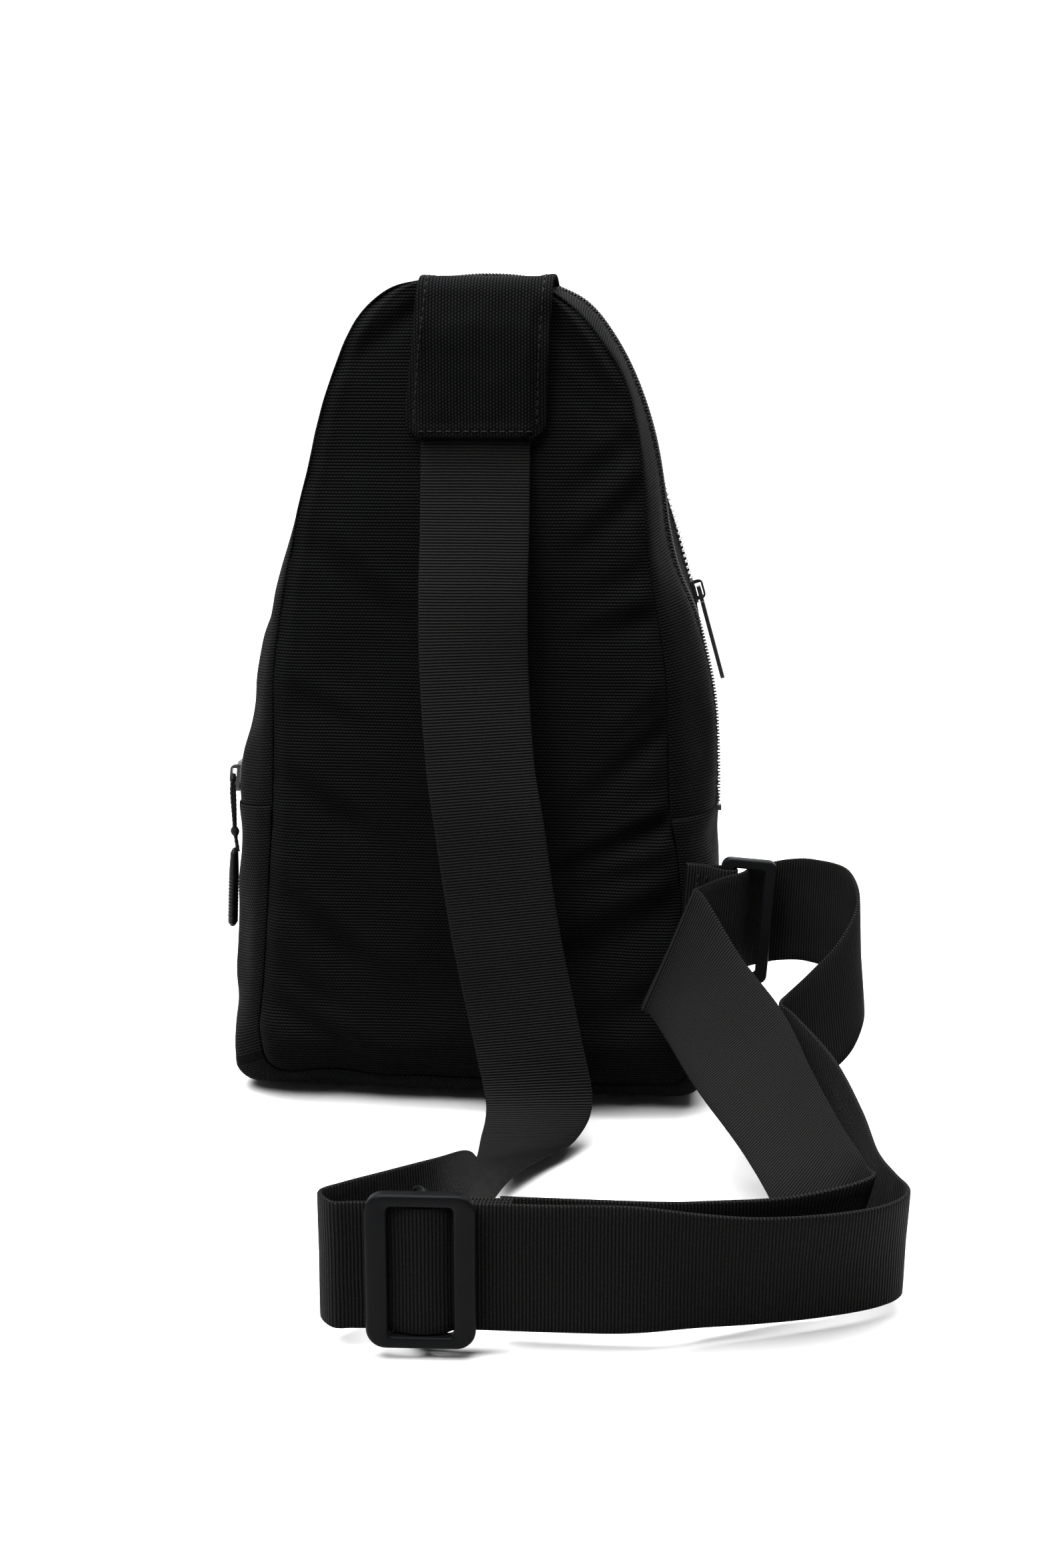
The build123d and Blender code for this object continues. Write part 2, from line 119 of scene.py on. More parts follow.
# ---------------------------------------------------------------- mesh tools
def new_object(name, points, faces, uvs=None, material=None):
    """Mesh object from points in millimetres; uvs are given for each point, in millimetres."""
    mesh = bpy.data.meshes.new(name)
    mesh.from_pydata([tuple(p * MM) for p in np.asarray(points, float)], [], faces)
    mesh.polygons.foreach_set("use_smooth", [True] * len(mesh.polygons))
    if uvs is not None:
        corner = np.zeros(len(mesh.loops), np.int32)
        mesh.loops.foreach_get("vertex_index", corner)
        layer = mesh.uv_layers.new(name="weave")
        layer.data.foreach_set("uv", (np.asarray(uvs)[corner] * MM).astype(np.float32).ravel())
    mesh.validate()
    obj = bpy.data.objects.new(name, mesh)
    bpy.context.scene.collection.objects.link(obj)
    if material is not None:
        mesh.materials.append(material)
    return obj


def grid_faces(rows, cols, closed_rows=False, closed_cols=False, start=0):
    """Quads of a rows by cols grid."""
    faces = []
    for i in range(rows if closed_rows else rows - 1):
        for j in range(cols if closed_cols else cols - 1):
            a, b = i * cols + j, i * cols + (j + 1) % cols
            c, d = ((i + 1) % rows) * cols + (j + 1) % cols, ((i + 1) % rows) * cols + j
            faces.append((start + a, start + b, start + c, start + d))
    return faces


def capped_faces(rows, cols):
    """Faces of a closed tube whose grid has rows rings of cols points."""
    faces = grid_faces(rows, cols, False, True)
    faces.append(tuple(range(cols))[::-1])
    faces.append(tuple(range(cols * (rows - 1), cols * rows)))
    return faces


def cloth_piece(name, points, uvs, material, thickness=1.0, levels=1):
    """Sheet of cloth from a grid of points: its face is the grid, its thickness lies behind."""
    rows, cols = points.shape[:2]
    obj = new_object(name, points.reshape(-1, 3), grid_faces(rows, cols),
                     uvs.reshape(-1, 2), material)
    finish_cloth(obj, thickness, levels)
    return obj


def finish_cloth(obj, thickness=1.0, levels=1):
    """Gives a sheet its thickness and a smoother surface."""
    solid = obj.modifiers.new("thickness", "SOLIDIFY")
    solid.thickness = thickness * MM
    solid.offset = -1
    solid.use_even_offset = True
    if levels:
        smooth = obj.modifiers.new("smooth", "SUBSURF")
        smooth.levels = smooth.render_levels = levels


def merge(name, parts, material):
    """One mesh from many small (points, faces) parts."""
    points, faces, start = [], [], 0
    for p, f in parts:
        points.append(p)
        faces += [tuple(start + i for i in face) for face in f]
        start += len(p)
    return new_object(name, np.vstack(points), faces, None, material)


def tube(line, radius, sides, squash=(1.0, 1.0), up=(0, 0, 1)):
    """Points and faces of a round or oval tube along a line, with closed ends."""
    line = np.asarray(line, float)
    tangent = unit(np.gradient(line, axis=0))
    side = unit(np.cross(tangent, np.array(up, float) + 1e-4))
    for i in range(1, len(line)):
        if (side[i] * side[i - 1]).sum() < 0:
            side[i] = -side[i]
    other = np.cross(side, tangent)
    angle = np.linspace(0, 2 * math.pi, sides, endpoint=False)
    radii = np.broadcast_to(np.asarray(radius, float), (len(line),))[:, None, None]
    ring = (np.cos(angle)[None, :, None] * side[:, None] * squash[0]
            + np.sin(angle)[None, :, None] * other[:, None] * squash[1])
    p = (line[:, None] + radii * ring).reshape(-1, 3)
    return p, capped_faces(len(line), sides)


# Length, gap and thread radius of the rows of stitches.
SEAM_STITCH = (2.5, 0.9, 0.2)
YOKE_STITCH = (2.3, 0.9, 0.24)
LOOP_STITCH = (2.2, 0.8, 0.24)
# One stitch: share of its length, height and thickness as shares of the radius.
STITCH = np.array([(0, -0.5, 0.5), (0.18, 0.55, 1), (0.5, 0.9, 1), (0.82, 0.55, 1), (1, -0.5, 0.5)])


def stitches(line, out, size):
    """Row of thread stitches lying on a line; out is the outward direction at each point."""
    length, gap, radius = size
    share, rise, thick = STITCH.T
    along = lengths(line)
    parts = []
    position = gap
    while position + length < along[-1]:
        at = share * length + position
        p = at_distance(line, along, at)
        n = unit(at_distance(out, along, at))
        parts.append(tube(p + n * (rise * radius)[:, None], radius * thick, 6))
        position += length + gap
    return parts


# ---------------------------------------------------------------- where pieces ride
ROOT = ("root",)
FLAP = ("root", "front_flap")


def carry(piece, bodies, slot, *nodes):
    """Sets what a piece rides on and hides the CAD nodes that it stands for; the slot, naming its
    finish, is not used.
    """
    if len(bodies) == 1:
        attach(piece, bodies[0])
    else:
        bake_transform(piece)
    if nodes:
        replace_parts(piece, *nodes)


# ---------------------------------------------------------------- materials
class Shader:
    """Small helper for building a node material."""

    def __init__(self, name, colour, roughness, **settings):
        self.material = bpy.data.materials.new(name)
        self.material.use_nodes = True
        self.tree = self.material.node_tree
        self.surface = self.tree.nodes["Principled BSDF"]
        self.surface.inputs["Base Color"].default_value = (*colour, 1)
        self.surface.inputs["Roughness"].default_value = roughness
        for key, value in settings.items():
            self.surface.inputs[key.replace("_", " ")].default_value = value

    def link(self, source, target):
        """Joins an output, or sets a number, on an input."""
        if isinstance(source, (int, float)):
            target.default_value = source
        else:
            self.tree.links.new(source, target)

    def math(self, operation, a, b=0.0, c=0.0):
        """A Math node."""
        node = self.tree.nodes.new("ShaderNodeMath")
        node.operation = operation
        for value, socket in zip((a, b, c), node.inputs):
            self.link(value, socket)
        return node.outputs[0]

    def uv(self):
        """The weave coordinates in millimetres, as two outputs."""
        node = self.tree.nodes.new("ShaderNodeUVMap")
        node.uv_map = "weave"
        split = self.tree.nodes.new("ShaderNodeSeparateXYZ")
        self.link(node.outputs[0], split.inputs[0])
        return (self.math("MULTIPLY", split.outputs[0], 1000.0),
                self.math("MULTIPLY", split.outputs[1], 1000.0))

    def object_point(self):
        """Object coordinates, in metres."""
        return self.tree.nodes.new("ShaderNodeTexCoord").outputs["Object"]

    def noise(self, vector, scale, detail=3.0, roughness=0.5):
        """Noise value from 0 to 1."""
        node = self.tree.nodes.new("ShaderNodeTexNoise")
        self.link(vector, node.inputs["Vector"])
        node.inputs["Scale"].default_value = scale
        node.inputs["Detail"].default_value = detail
        node.inputs["Roughness"].default_value = roughness
        return node.outputs["Fac"]

    def spread(self, value, low, high, to_low, to_high):
        """Value mapped from one range to another."""
        node = self.tree.nodes.new("ShaderNodeMapRange")
        for number, socket in zip((value, low, high, to_low, to_high), node.inputs):
            self.link(number, socket)
        return node.outputs[0]

    def mix_colour(self, factor, dark, light):
        """Base colour between two colours."""
        node = self.tree.nodes.new("ShaderNodeMix")
        node.data_type = "RGBA"
        self.link(factor, node.inputs["Factor"])
        node.inputs[6].default_value = (*dark, 1)
        node.inputs[7].default_value = (*light, 1)
        self.link(node.outputs[2], self.surface.inputs["Base Color"])

    def bump(self, height, distance, strength=1.0):
        """Bump in millimetres."""
        node = self.tree.nodes.new("ShaderNodeBump")
        node.inputs["Strength"].default_value = strength
        node.inputs["Distance"].default_value = distance * MM
        self.link(height, node.inputs["Height"])
        self.link(node.outputs[0], self.surface.inputs["Normal"])

    def roughness(self, value):
        """Linked roughness."""
        self.link(value, self.surface.inputs["Roughness"])


def shade(colour, factor):
    """A colour made darker or lighter."""
    return tuple(c * factor for c in colour)


def woven(name, colour, rib, pick, depth, grain=0.5, sheen=0.002, gloss=0.03, dark=0.08,
          light=2.3):
    """Ribbed cloth: ribs run along the first weave coordinate and repeat every rib millimetres
    of the second; pick is the length of each thread's float along the rib."""
    s = Shader(name, colour, 0.78, Sheen_Weight=sheen, Sheen_Roughness=0.4,
               Specular_IOR_Level=gloss)
    u, v = s.uv()
    wobble = s.noise(s.object_point(), 60.0, 2.0)
    row = s.math("ADD", s.math("DIVIDE", v, rib), s.math("MULTIPLY", wobble, 0.35))
    ridge = s.math("SINE", s.math("MULTIPLY", s.math("FRACT", row), math.pi))
    odd = s.math("MULTIPLY", s.math("FLOOR", row), 0.5)
    along = s.math("ADD", s.math("DIVIDE", u, pick), odd)
    lump = s.math("ABSOLUTE", s.math("SINE", s.math("MULTIPLY", along, math.pi)))
    thread = s.math("MULTIPLY", ridge, s.math("ADD", s.math("MULTIPLY", lump, grain), 1 - grain))
    fuzz = s.noise(s.object_point(), 2600.0, 2.0)
    patchy = s.noise(s.object_point(), 22.0, 3.0)
    # The base colour follows each thread's rise: painted shade in the grooves between the ribs and
    # painted highlights on their crests, with random fuzz and patches on top.
    tone = s.math("MULTIPLY", thread, s.spread(fuzz, 0.3, 0.7, 0.8, 1.15))
    tone = s.math("MULTIPLY", tone, s.spread(patchy, 0.3, 0.7, 0.86, 1.1))
    s.mix_colour(tone, shade(colour, dark), shade(colour, light))
    s.roughness(s.spread(thread, 0.0, 1.0, 0.95, 0.62))
    s.bump(s.math("ADD", thread, s.math("MULTIPLY", fuzz, 0.12)), depth)
    return s.material


def moulded(name, colour, roughness, edge_highlight=0.4, grain=900.0, spec=0.4):
    """Moulded plastic or enamel with fine grain, dust and painted highlights along its convex
    edges.
    """
    s = Shader(name, colour, roughness, Specular_IOR_Level=spec)
    place = s.object_point()
    fine = s.noise(place, grain, 3.0)
    broad = s.noise(place, 70.0, 4.0, 0.65)
    # Pointiness lightens the colour of the convex edges: a painted highlight along them. The broad
    # noise is dust.
    geometry = s.tree.nodes.new("ShaderNodeNewGeometry")
    edge_highlight_mask = s.spread(geometry.outputs["Pointiness"], 0.51, 0.58, 0.0, 1.0)
    tone = s.math("MAXIMUM", s.math("MULTIPLY", broad, 0.4), s.math("MULTIPLY", edge_highlight_mask, edge_highlight))
    s.mix_colour(tone, colour, shade(colour, 2.6))
    s.roughness(s.spread(broad, 0.3, 0.7, roughness * 0.8, roughness * 1.25))
    s.bump(fine, 0.03)
    return s.material


def bright_metal(name, colour, roughness):
    """Bare metal with small scratches."""
    s = Shader(name, colour, roughness, Metallic=1.0)
    fine = s.noise(s.object_point(), 1500.0, 3.0)
    s.mix_colour(fine, shade(colour, 0.72), colour)
    s.roughness(s.spread(fine, 0.3, 0.7, roughness * 0.7, roughness * 1.5))
    s.bump(fine, 0.02)
    return s.material


def thread_material(name, colour):
    """Twisted sewing thread."""
    s = Shader(name, colour, 0.6, Sheen_Weight=0.01, Specular_IOR_Level=0.12)
    twist = s.noise(s.object_point(), 3200.0, 2.0)
    s.mix_colour(twist, shade(colour, 0.6), shade(colour, 1.6))
    s.bump(twist, 0.05)
    return s.material


BLACK = (0.0046, 0.0047, 0.0050)
OXFORD = woven("oxford_cloth", BLACK, 1.12, 1.25, 0.34, grain=0.55, gloss=0.016)
WEB = woven("webbing", (0.0058, 0.0060, 0.0057), 1.05, 0.62, 0.42, grain=0.3, gloss=0.05)
LINING = woven("lining_cloth", (0.014, 0.014, 0.0155), 0.5, 0.6, 0.12, grain=0.6)
TAPE = woven("zipper_tape", (0.0048, 0.0048, 0.0052), 0.8, 1.6, 0.22, grain=0.5)
BINDING = woven("binding_tape", (0.0055, 0.0055, 0.0058), 0.7, 0.7, 0.2)
FOAM = moulded("foam", (0.10, 0.10, 0.105), 0.95, edge_highlight=0.1, grain=1600.0, spec=0.1)
PLASTIC = moulded("moulded_plastic", (0.0028, 0.0030, 0.0034), 0.42, spec=0.05)
NYLON = moulded("nylon_coil", (0.0040, 0.0040, 0.0043), 0.38, spec=0.2)
ENAMEL = moulded("black_metal", (0.0036, 0.0036, 0.0040), 0.3, edge_highlight=0.8, spec=0.3)
GRIP = moulded("pull_grip", (0.0036, 0.0036, 0.0038), 0.5, spec=0.15)
TEETH = bright_metal("metal_teeth", (0.62, 0.62, 0.61), 0.32)
THREAD = thread_material("sewing_thread", (0.0065, 0.0065, 0.0068))
CORD = thread_material("pull_cord", (0.0050, 0.0050, 0.0053))


# ---------------------------------------------------------------- the bag's form
# Outlines (x, z) seen from behind: each side runs from the bottom corner up to the crown.
BACK = dict(
    right=[(79, 12), (81, 24), (79, 50), (76, 82), (74, 100), (71, 115), (70, 142), (69, 164),
           (66, 185), (62.5, 205), (61, 222), (59.5, 240), (57, 256), (52, 272), (43, 286),
           (35, 295), (27, 301)],
    left=[(-84, 14), (-86, 26), (-84, 44), (-82, 66), (-80, 92), (-78, 117), (-77, 145),
          (-76, 168), (-71.5, 196), (-68.5, 210), (-65, 227), (-59.5, 246), (-55, 264),
          (-47.5, 283), (-40.5, 294.5), (-30.5, 302.5), (-20, 305)],
    bottom=[(-84, 14), (-80, 9.5), (-72, 8.5), (-56, 10), (-38, 8), (-20, 8.5), (4, 8), (30, 8),
            (56, 8), (70, 8), (76, 9), (79, 12)])
MIDDLE = dict(
    right=[(86, 6), (90, 22), (91, 60), (89, 93), (88, 118), (87, 140), (85, 158), (79, 182),
           (71.5, 200), (67.5, 216), (65, 233), (61, 253), (54.5, 271), (45.5, 287), (36, 298),
           (24, 304)],
    left=[(-98, 6), (-101.5, 22), (-100, 48), (-98, 80), (-96.5, 108), (-94.5, 127),
          (-92, 139), (-89.5, 152), (-87, 165), (-81.5, 187), (-74.5, 206), (-68, 225),
          (-62, 246), (-56.5, 266), (-49, 284), (-41, 295), (-31, 302), (-19, 305)],
    bottom=[(-99, 6), (-95, 1.6), (-88, 0), (-60, 0), (-20, 0), (20, 0), (60, 0), (76, 0),
            (82, 1.6), (86, 6)])
FRONT_SIDE = [(84, 13), (87, 26), (88, 60), (86.5, 105), (84, 150), (79, 185), (70, 216),
              (59, 241), (47, 259), (33, 272), (20, 280)]
FRONT = dict(
    right=FRONT_SIDE, left=[(-x, z) for x, z in FRONT_SIDE],
    bottom=[(-84, 13), (-80, 8.5), (-72, 7), (0, 7), (72, 7), (80, 8.5), (84, 13)])
ACROSS = 50                     # cells across the panels
UP = 92                         # cells up the sides
FLAT_REAR = 25.0                # the gusset is fullest between these depths
FLAT_FRONT = 47.0
DEPTH = 80.0
ZIP_Y = 36.0                    # plane of the main zipper
POCKET_Y = 75.7                 # plane of the pocket's zipper
SPLIT_Z = 108.0                 # cross seam
POCKET_SPLIT_Z = 181.0
REAR_RIM_Y = 31.5               # edges of the cloth beside the main zipper
FRONT_RIM_Y = 40.5
POCKET_RIM_Y = 71.5             # edge of the cloth beside the pocket's zipper
REAR_STITCH_Y = 29.2            # topstitching beside those edges
FRONT_STITCH_Y = 42.8
POCKET_STITCH_Y = 69.2
COIL_APART = 1.45               # each coil's centre from the zipper's middle
TAPE_THICK = 0.5
LINING_THICK = 0.4
ABOVE = 400.0                   # higher than any part of the bag
BELOW = -1.0
RAIL_POINTS_PER_MM = 4
THREAD_LIFT = 0.25              # topstitching's height off the cloth
DEPTHS = [0, 1.2, 3, 5, 8, 12, 16, 20, 24, 27.5, 30, 31.5, 33, 36, 39, 40.5, 42, 45, 49, 54,
          59, 64, 68, 70, 71.5, 73, 75.7, 78.2, 79.4, 80]


def outline(sizes, rise):
    """The four sides of an outline as (x, z) points: bottom, right, top and left."""
    right = smooth_curve(sizes["right"], UP + 1)
    left = smooth_curve(sizes["left"], UP + 1)
    bottom = smooth_curve(sizes["bottom"], ACROSS + 1)
    middle = (right[-1] + left[-1]) / 2 + np.array([0, rise])
    top = smooth_curve([left[-1], (left[-1] + middle) / 2 + [0, rise * 0.3], middle,
                        (right[-1] + middle) / 2 + [0, rise * 0.3], right[-1]], ACROSS + 1)
    return dict(bottom=bottom, right=right, top=top, left=left)


def around(sides):
    """The closed outline as one loop, from the bottom left corner by way of the right."""
    return np.vstack([sides["bottom"][:-1], sides["right"][:-1], sides["top"][::-1][:-1],
                      sides["left"][::-1][:-1]])


RINGS = [outline(BACK, rise=1.5), outline(MIDDLE, rise=3.0), outline(FRONT, rise=2.5)]
LOOPS = [around(r) for r in RINGS]


def ring_at(y):
    """Loop of points (x, y, z) of the gusset at nominal depth y."""
    corner, floor_roll, side_roll = 10, 2.6, 0.9
    back, middle, front = LOOPS
    low = ease((26 - middle[:, 1]) / 20)            # 1 on the floor, 0 up the sides
    rear = np.sin(math.pi / 2 * min(y / FLAT_REAR, 1.0) ** 0.85)
    rear = rear * (1 - low) + float(ease(y / corner)) * low
    ahead = 1 - math.cos(math.pi / 2 * max(0.0, (y - FLAT_FRONT) / (DEPTH - FLAT_FRONT)))
    ahead = ahead * (1 - low) + float(ease((y - DEPTH + corner) / corner)) * low
    p = back + (middle - back) * rear[:, None]
    p = p + (front - middle) * ahead[:, None]
    roll = (floor_roll * low + side_roll * (1 - low)) * hill(y, 3.0, 3.4)
    return np.stack([p[:, 0], y - roll, p[:, 1]], axis=1)


def outward(grid):
    """Outward normals of the gusset grid, which closes on itself along its first axis."""
    du = np.roll(grid, -1, 0) - np.roll(grid, 1, 0)
    dv = np.gradient(grid, axis=1)
    return unit(np.cross(dv, du))


# Soft folds of the side wall: height, depth, size up, size across, how far in.
LEFT_FOLDS = [(146, 14, 9, 8, 2.6), (96, 20, 14, 7, 2.4), (60, 12, 22, 6, 2.0),
              (186, 16, 7, 9, 2.0), (30, 22, 9, 12, 2.4), (128, 50, 9, 9, 2.0)]
RIGHT_FOLDS = [(140, 13, 12, 7, 2.4), (101, 20, 9, 12, 3.0), (168, 54, 10, 9, 2.2),
               (60, 18, 16, 9, 2.6), (206, 14, 8, 9, 1.8), (34, 46, 12, 13, 2.4)]


def gusset_grid():
    """The whole side wall: points, outward normals and weave coordinates."""
    lump, small_lump, pucker_high, pucker_reach = 1.9, 0.7, 1.3, 7
    stiff, stiff_reach = 0.85, 9
    grid = np.stack([ring_at(y) for y in DEPTHS], axis=1)
    normal = outward(grid)
    side = np.sign(grid[..., 0])
    depth = np.array(DEPTHS)[None, :]
    body = np.sin(math.pi * np.clip(depth / DEPTH, 0, 1)) ** 0.6
    free = np.clip(grid[..., 2] / 12, 0, 1) * body
    push = rough(grid, 34.0, 3.0) * lump + rough(grid, 13.0, 8.0) * small_lump
    for folds, sign in ((LEFT_FOLDS, -1), (RIGHT_FOLDS, 1)):
        for z, y, tall, wide, deep in folds:
            push = push - deep * hill(grid[..., 2], z, tall) * hill(depth, y, wide) * (
                side == sign)
    # The zipper's strip is stiff, so it stays even.
    calm = 1 - stiff * hill(depth, ZIP_Y, stiff_reach)
    pulled = rough(np.stack([np.broadcast_to(np.arange(grid.shape[0])[:, None] * 3.0, side.shape),
                             np.broadcast_to(depth * 0.3, side.shape), side], axis=-1), 6.0, 4.0)
    pucker = pucker_high * pulled * (np.exp(-depth / pucker_reach)
                                     + np.exp(-(DEPTH - depth) / pucker_reach))
    grid = grid + normal * ((push * calm + pucker) * free)[..., None]
    grid[..., 2] = np.maximum(grid[..., 2], 0.0)
    uv = np.stack([np.broadcast_to(depth, grid.shape[:2]),
                   np.broadcast_to(lengths(LOOPS[1])[:, None], grid.shape[:2])], axis=2)
    return grid, outward(grid), uv


def coons(sides):
    """Points (x, z) filling an outline, rows going up and columns across."""
    u = np.linspace(0, 1, ACROSS + 1)[None, :, None]
    v = np.linspace(0, 1, UP + 1)[:, None, None]
    bottom, top = sides["bottom"][None], sides["top"][None]
    left, right = sides["left"][:, None], sides["right"][:, None]
    corners = ((1 - u) * (1 - v) * bottom[:, :1] + u * (1 - v) * bottom[:, -1:]
               + (1 - u) * v * top[:, :1] + u * v * top[:, -1:])
    return (1 - v) * bottom + v * top + (1 - u) * left + u * right - corners


def edge_distance(flat):
    """Rough distance of each point of a panel from the panel's edge."""
    width = np.linalg.norm(flat[:, -1] - flat[:, 0], axis=-1)[:, None]
    tall = np.linalg.norm(flat[-1] - flat[0], axis=-1)[None, :]
    u = np.linspace(0, 1, flat.shape[1])[None, :]
    v = np.linspace(0, 1, flat.shape[0])[:, None]
    return np.minimum(np.minimum(u, 1 - u) * width, np.minimum(v, 1 - v) * tall)


def off_edge(distance, reach):
    """0 at a panel's edge, rising to 1 beyond reach."""
    return 1 - np.exp(-distance / reach)


def face_points(flat, y):
    """Points (x, y, z) of a panel from its (x, z) points and its depth."""
    return np.stack([flat[..., 0], np.broadcast_to(y, flat.shape[:2]), flat[..., 1]], axis=-1)


# Creases of the back panel: from (x, z) to (x, z), width, depth, and the ridge above it.
BACK_CREASES = [
    (38, 96, 72, 113, 3.8, 5.4, 3.4),
    (45, 89, 76, 97, 4.5, 2.6, 2.0),
    (48, 127, 70, 148, 4.6, 4.2, 2.6),
    (50, 140, 68, 157, 4.0, 2.2, 1.6),
    (48, 183, 66, 188, 4.6, 4.2, 2.4),
    (50, 199, 62, 206, 4.0, 2.0, 1.6),
    (42, 216, 60, 233, 4.6, 3.4, 2.0),
    (36, 233, 56, 250, 4.5, 1.8, 1.4),
    (30, 56, 76, 84, 8.0, 3.4, 2.4),
    (46, 34, 78, 50, 7.0, 2.4, 1.6),
    (-82, 88, -50, 60, 5.5, 2.6, 2.0),
    (-84, 60, -62, 42, 5.0, 2.0, 1.5),
    (-85, 42, -54, 24, 5.5, 2.8, 2.2),
    (-70, 17, -26, 15, 4.0, 2.6, 2.0),
    (-76, 130, -52, 112, 5.5, 2.2, 1.6),
    (-74, 160, -54, 150, 5.0, 1.6, 1.1),
    (-60, 214, -38, 194, 6.0, 1.6, 1.1),
    (30, 287, 46, 267, 4.0, 2.4, 1.6),
    (-24, 293, -44, 278, 4.0, 2.0, 1.4),
    (34, 268, 52, 252, 4.0, 1.5, 1.1),
]


def crease(flat, x0, z0, x1, z1, width, deep, ridge):
    """Inward push of one soft crease, with a ridge along its upper side."""
    start, end = np.array([x0, z0], float), np.array([x1, z1], float)
    run = end - start
    t = np.clip(((flat - start) @ run) / (run @ run), 0, 1)
    away = flat - start - t[..., None] * run
    across = unit(np.array([-run[1], run[0]]))
    if across[1] < 0:
        across = -across
    offset = away @ across
    fade = np.exp(-(np.linalg.norm(away, axis=-1) / (width * 2.2)) ** 2)
    taper = 0.35 + 0.65 * t if x1 > x0 else 0.35 + 0.65 * (1 - t)
    valley = hill(offset, 0, width) * deep
    top = hill(offset, 1.5 * width, width * 1.1) * ridge
    return (valley - top) * fade * taper


def back_surface(flat):
    """Depth y of the back panel's face at each point (x, z) of the panel."""
    full, belly, crown_loss, foot = 3.4, 2.6, 1.4, 2.0
    lump, small_lump, pulled, groove, welt = 1.3, 0.45, 1.1, 0.9, 0.7
    d = edge_distance(flat)
    z = flat[..., 1]
    fullness = full + belly * hill(z, 60, 70) - crown_loss * ease((z - 215) / 45)
    y = -fullness * off_edge(d, 7.0) - foot * hill(z, 24, 12) * off_edge(d, 4.0)
    for c in BACK_CREASES:
        y = y + crease(flat, *c) * off_edge(d, 3.0)
    spot = face_points(flat, 0.0)
    soft = rough(spot, 42.0, 5.0) * lump + rough(spot, 17.0, 2.0) * small_lump
    y = y + soft * off_edge(d, 9.0) * (1 - 0.6 * ease((z - 230) / 30))
    # The seam draws the cloth into small puckers, which run in from the edge.
    along = np.where(np.abs(flat[..., 0]) > 20, z, flat[..., 0])
    pull = rough(np.stack([along, d * 0.35, np.zeros_like(z)], axis=-1), 5.2, 3.0)
    seam = groove * hill(d, 2.2, 1.1) - welt * hill(d, 5.0, 1.8)
    return y + pulled * pull * np.exp(-d / 8.0) + seam


def front_surface(flat):
    """Depth y of the front panel's face."""
    full, belly, lump, small_lump, pucker = 4.5, 2.0, 1.4, 0.4, 0.3
    d = edge_distance(flat)
    z = flat[..., 1]
    y = DEPTH + (full + belly * hill(z, 70, 60)) * off_edge(d, 12.0)
    spot = face_points(flat, 9.0)
    y = y + (rough(spot, 38.0, 1.0) * lump + rough(spot, 15.0, 6.0) * small_lump) * (
        off_edge(d, 9.0))
    return y + pucker * np.sin(z * 1.2 + flat[..., 0]) * np.exp(-d / 4.5)


def masked_piece(name, grid, mask, material, thickness=1.0, levels=1):
    """Cloth piece made of the side wall's cells where mask is true."""
    rows, cols = grid.shape[:2]
    faces = [f for f, keep in zip(grid_faces(rows, cols, True), mask.ravel()) if keep]
    used = np.unique(np.array(faces))
    where = np.full(rows * cols, -1)
    where[used] = np.arange(len(used))
    faces = [tuple(int(where[i]) for i in f) for f in faces]
    obj = new_object(name, grid.reshape(-1, 3)[used], faces,
                     GUSSET_UV.reshape(-1, 2)[used], material)
    finish_cloth(obj, thickness, levels)
    return obj


GUSSET, GUSSET_OUT, GUSSET_UV = gusset_grid()
PANEL_FLAT = coons(RINGS[0])
FRONT_FLAT = coons(RINGS[2])
LOOP_Z = LOOPS[1][:, 1]
CELL_Z = (LOOP_Z + np.roll(LOOP_Z, -1)) / 2
CELL_Y = (np.array(DEPTHS)[:-1] + np.array(DEPTHS)[1:]) / 2


def cells(low_z, high_z, low_y, high_y):
    """Mask of the gusset's cells between two heights and two depths."""
    up = (CELL_Z > low_z) & (CELL_Z < high_z)
    deep = (CELL_Y > low_y) & (CELL_Y < high_y)
    return up[:, None] & deep[None, :]


def near_edge(value, edge, reach):
    """1 at an edge, falling to 0 within reach."""
    return np.clip(1 - np.abs(value - edge) / reach, 0, 1)


def lifted(offset):
    """The gusset's grid moved along its normals."""
    return GUSSET + GUSSET_OUT * np.broadcast_to(offset, GUSSET.shape[:2])[..., None]


def rail(depth, offset, low):
    """Line round the side wall at one depth, above a height, with its outward directions."""
    column = np.interp(depth, DEPTHS, np.arange(len(DEPTHS)))
    i, share = int(column), column - int(column)
    j = min(i + 1, len(DEPTHS) - 1)
    line = GUSSET[:, i] * (1 - share) + GUSSET[:, j] * share
    out = unit(GUSSET_OUT[:, i] * (1 - share) + GUSSET_OUT[:, j] * share)
    keep = line[:, 2] > low
    both = np.hstack([line[keep], out[keep]])
    along = lengths(both[:, :3])
    at = np.linspace(0, along[-1], int(along[-1] * RAIL_POINTS_PER_MM))
    both = at_distance(both, along, at)
    out = unit(both[:, 3:])
    return both[:, :3] + out * offset, out


def coil(name, depth, bodies, node, low):
    """Nylon coil of the main zipper: a thread wound in loops along the tape's edge."""
    pitch, wide, tall, thick, lift, steps = 1.25, 1.15, 0.95, 0.36, 0.35, 8
    line, out = rail(depth, lift, low)
    along = lengths(line)
    at = np.linspace(0, along[-1], int(along[-1] / pitch * steps))
    centre = at_distance(line, along, at)
    normal = unit(at_distance(out, along, at))
    across = np.array([0, 1.0, 0]) - normal * normal[:, 1:2]
    angle = 2 * math.pi * at / pitch
    helix = (centre + unit(across) * (wide * np.cos(angle))[:, None]
             + normal * (tall * np.sin(angle))[:, None])
    carry(merge(name, [tube(helix, thick, 6)], NYLON), bodies, "nylon_coil", node)


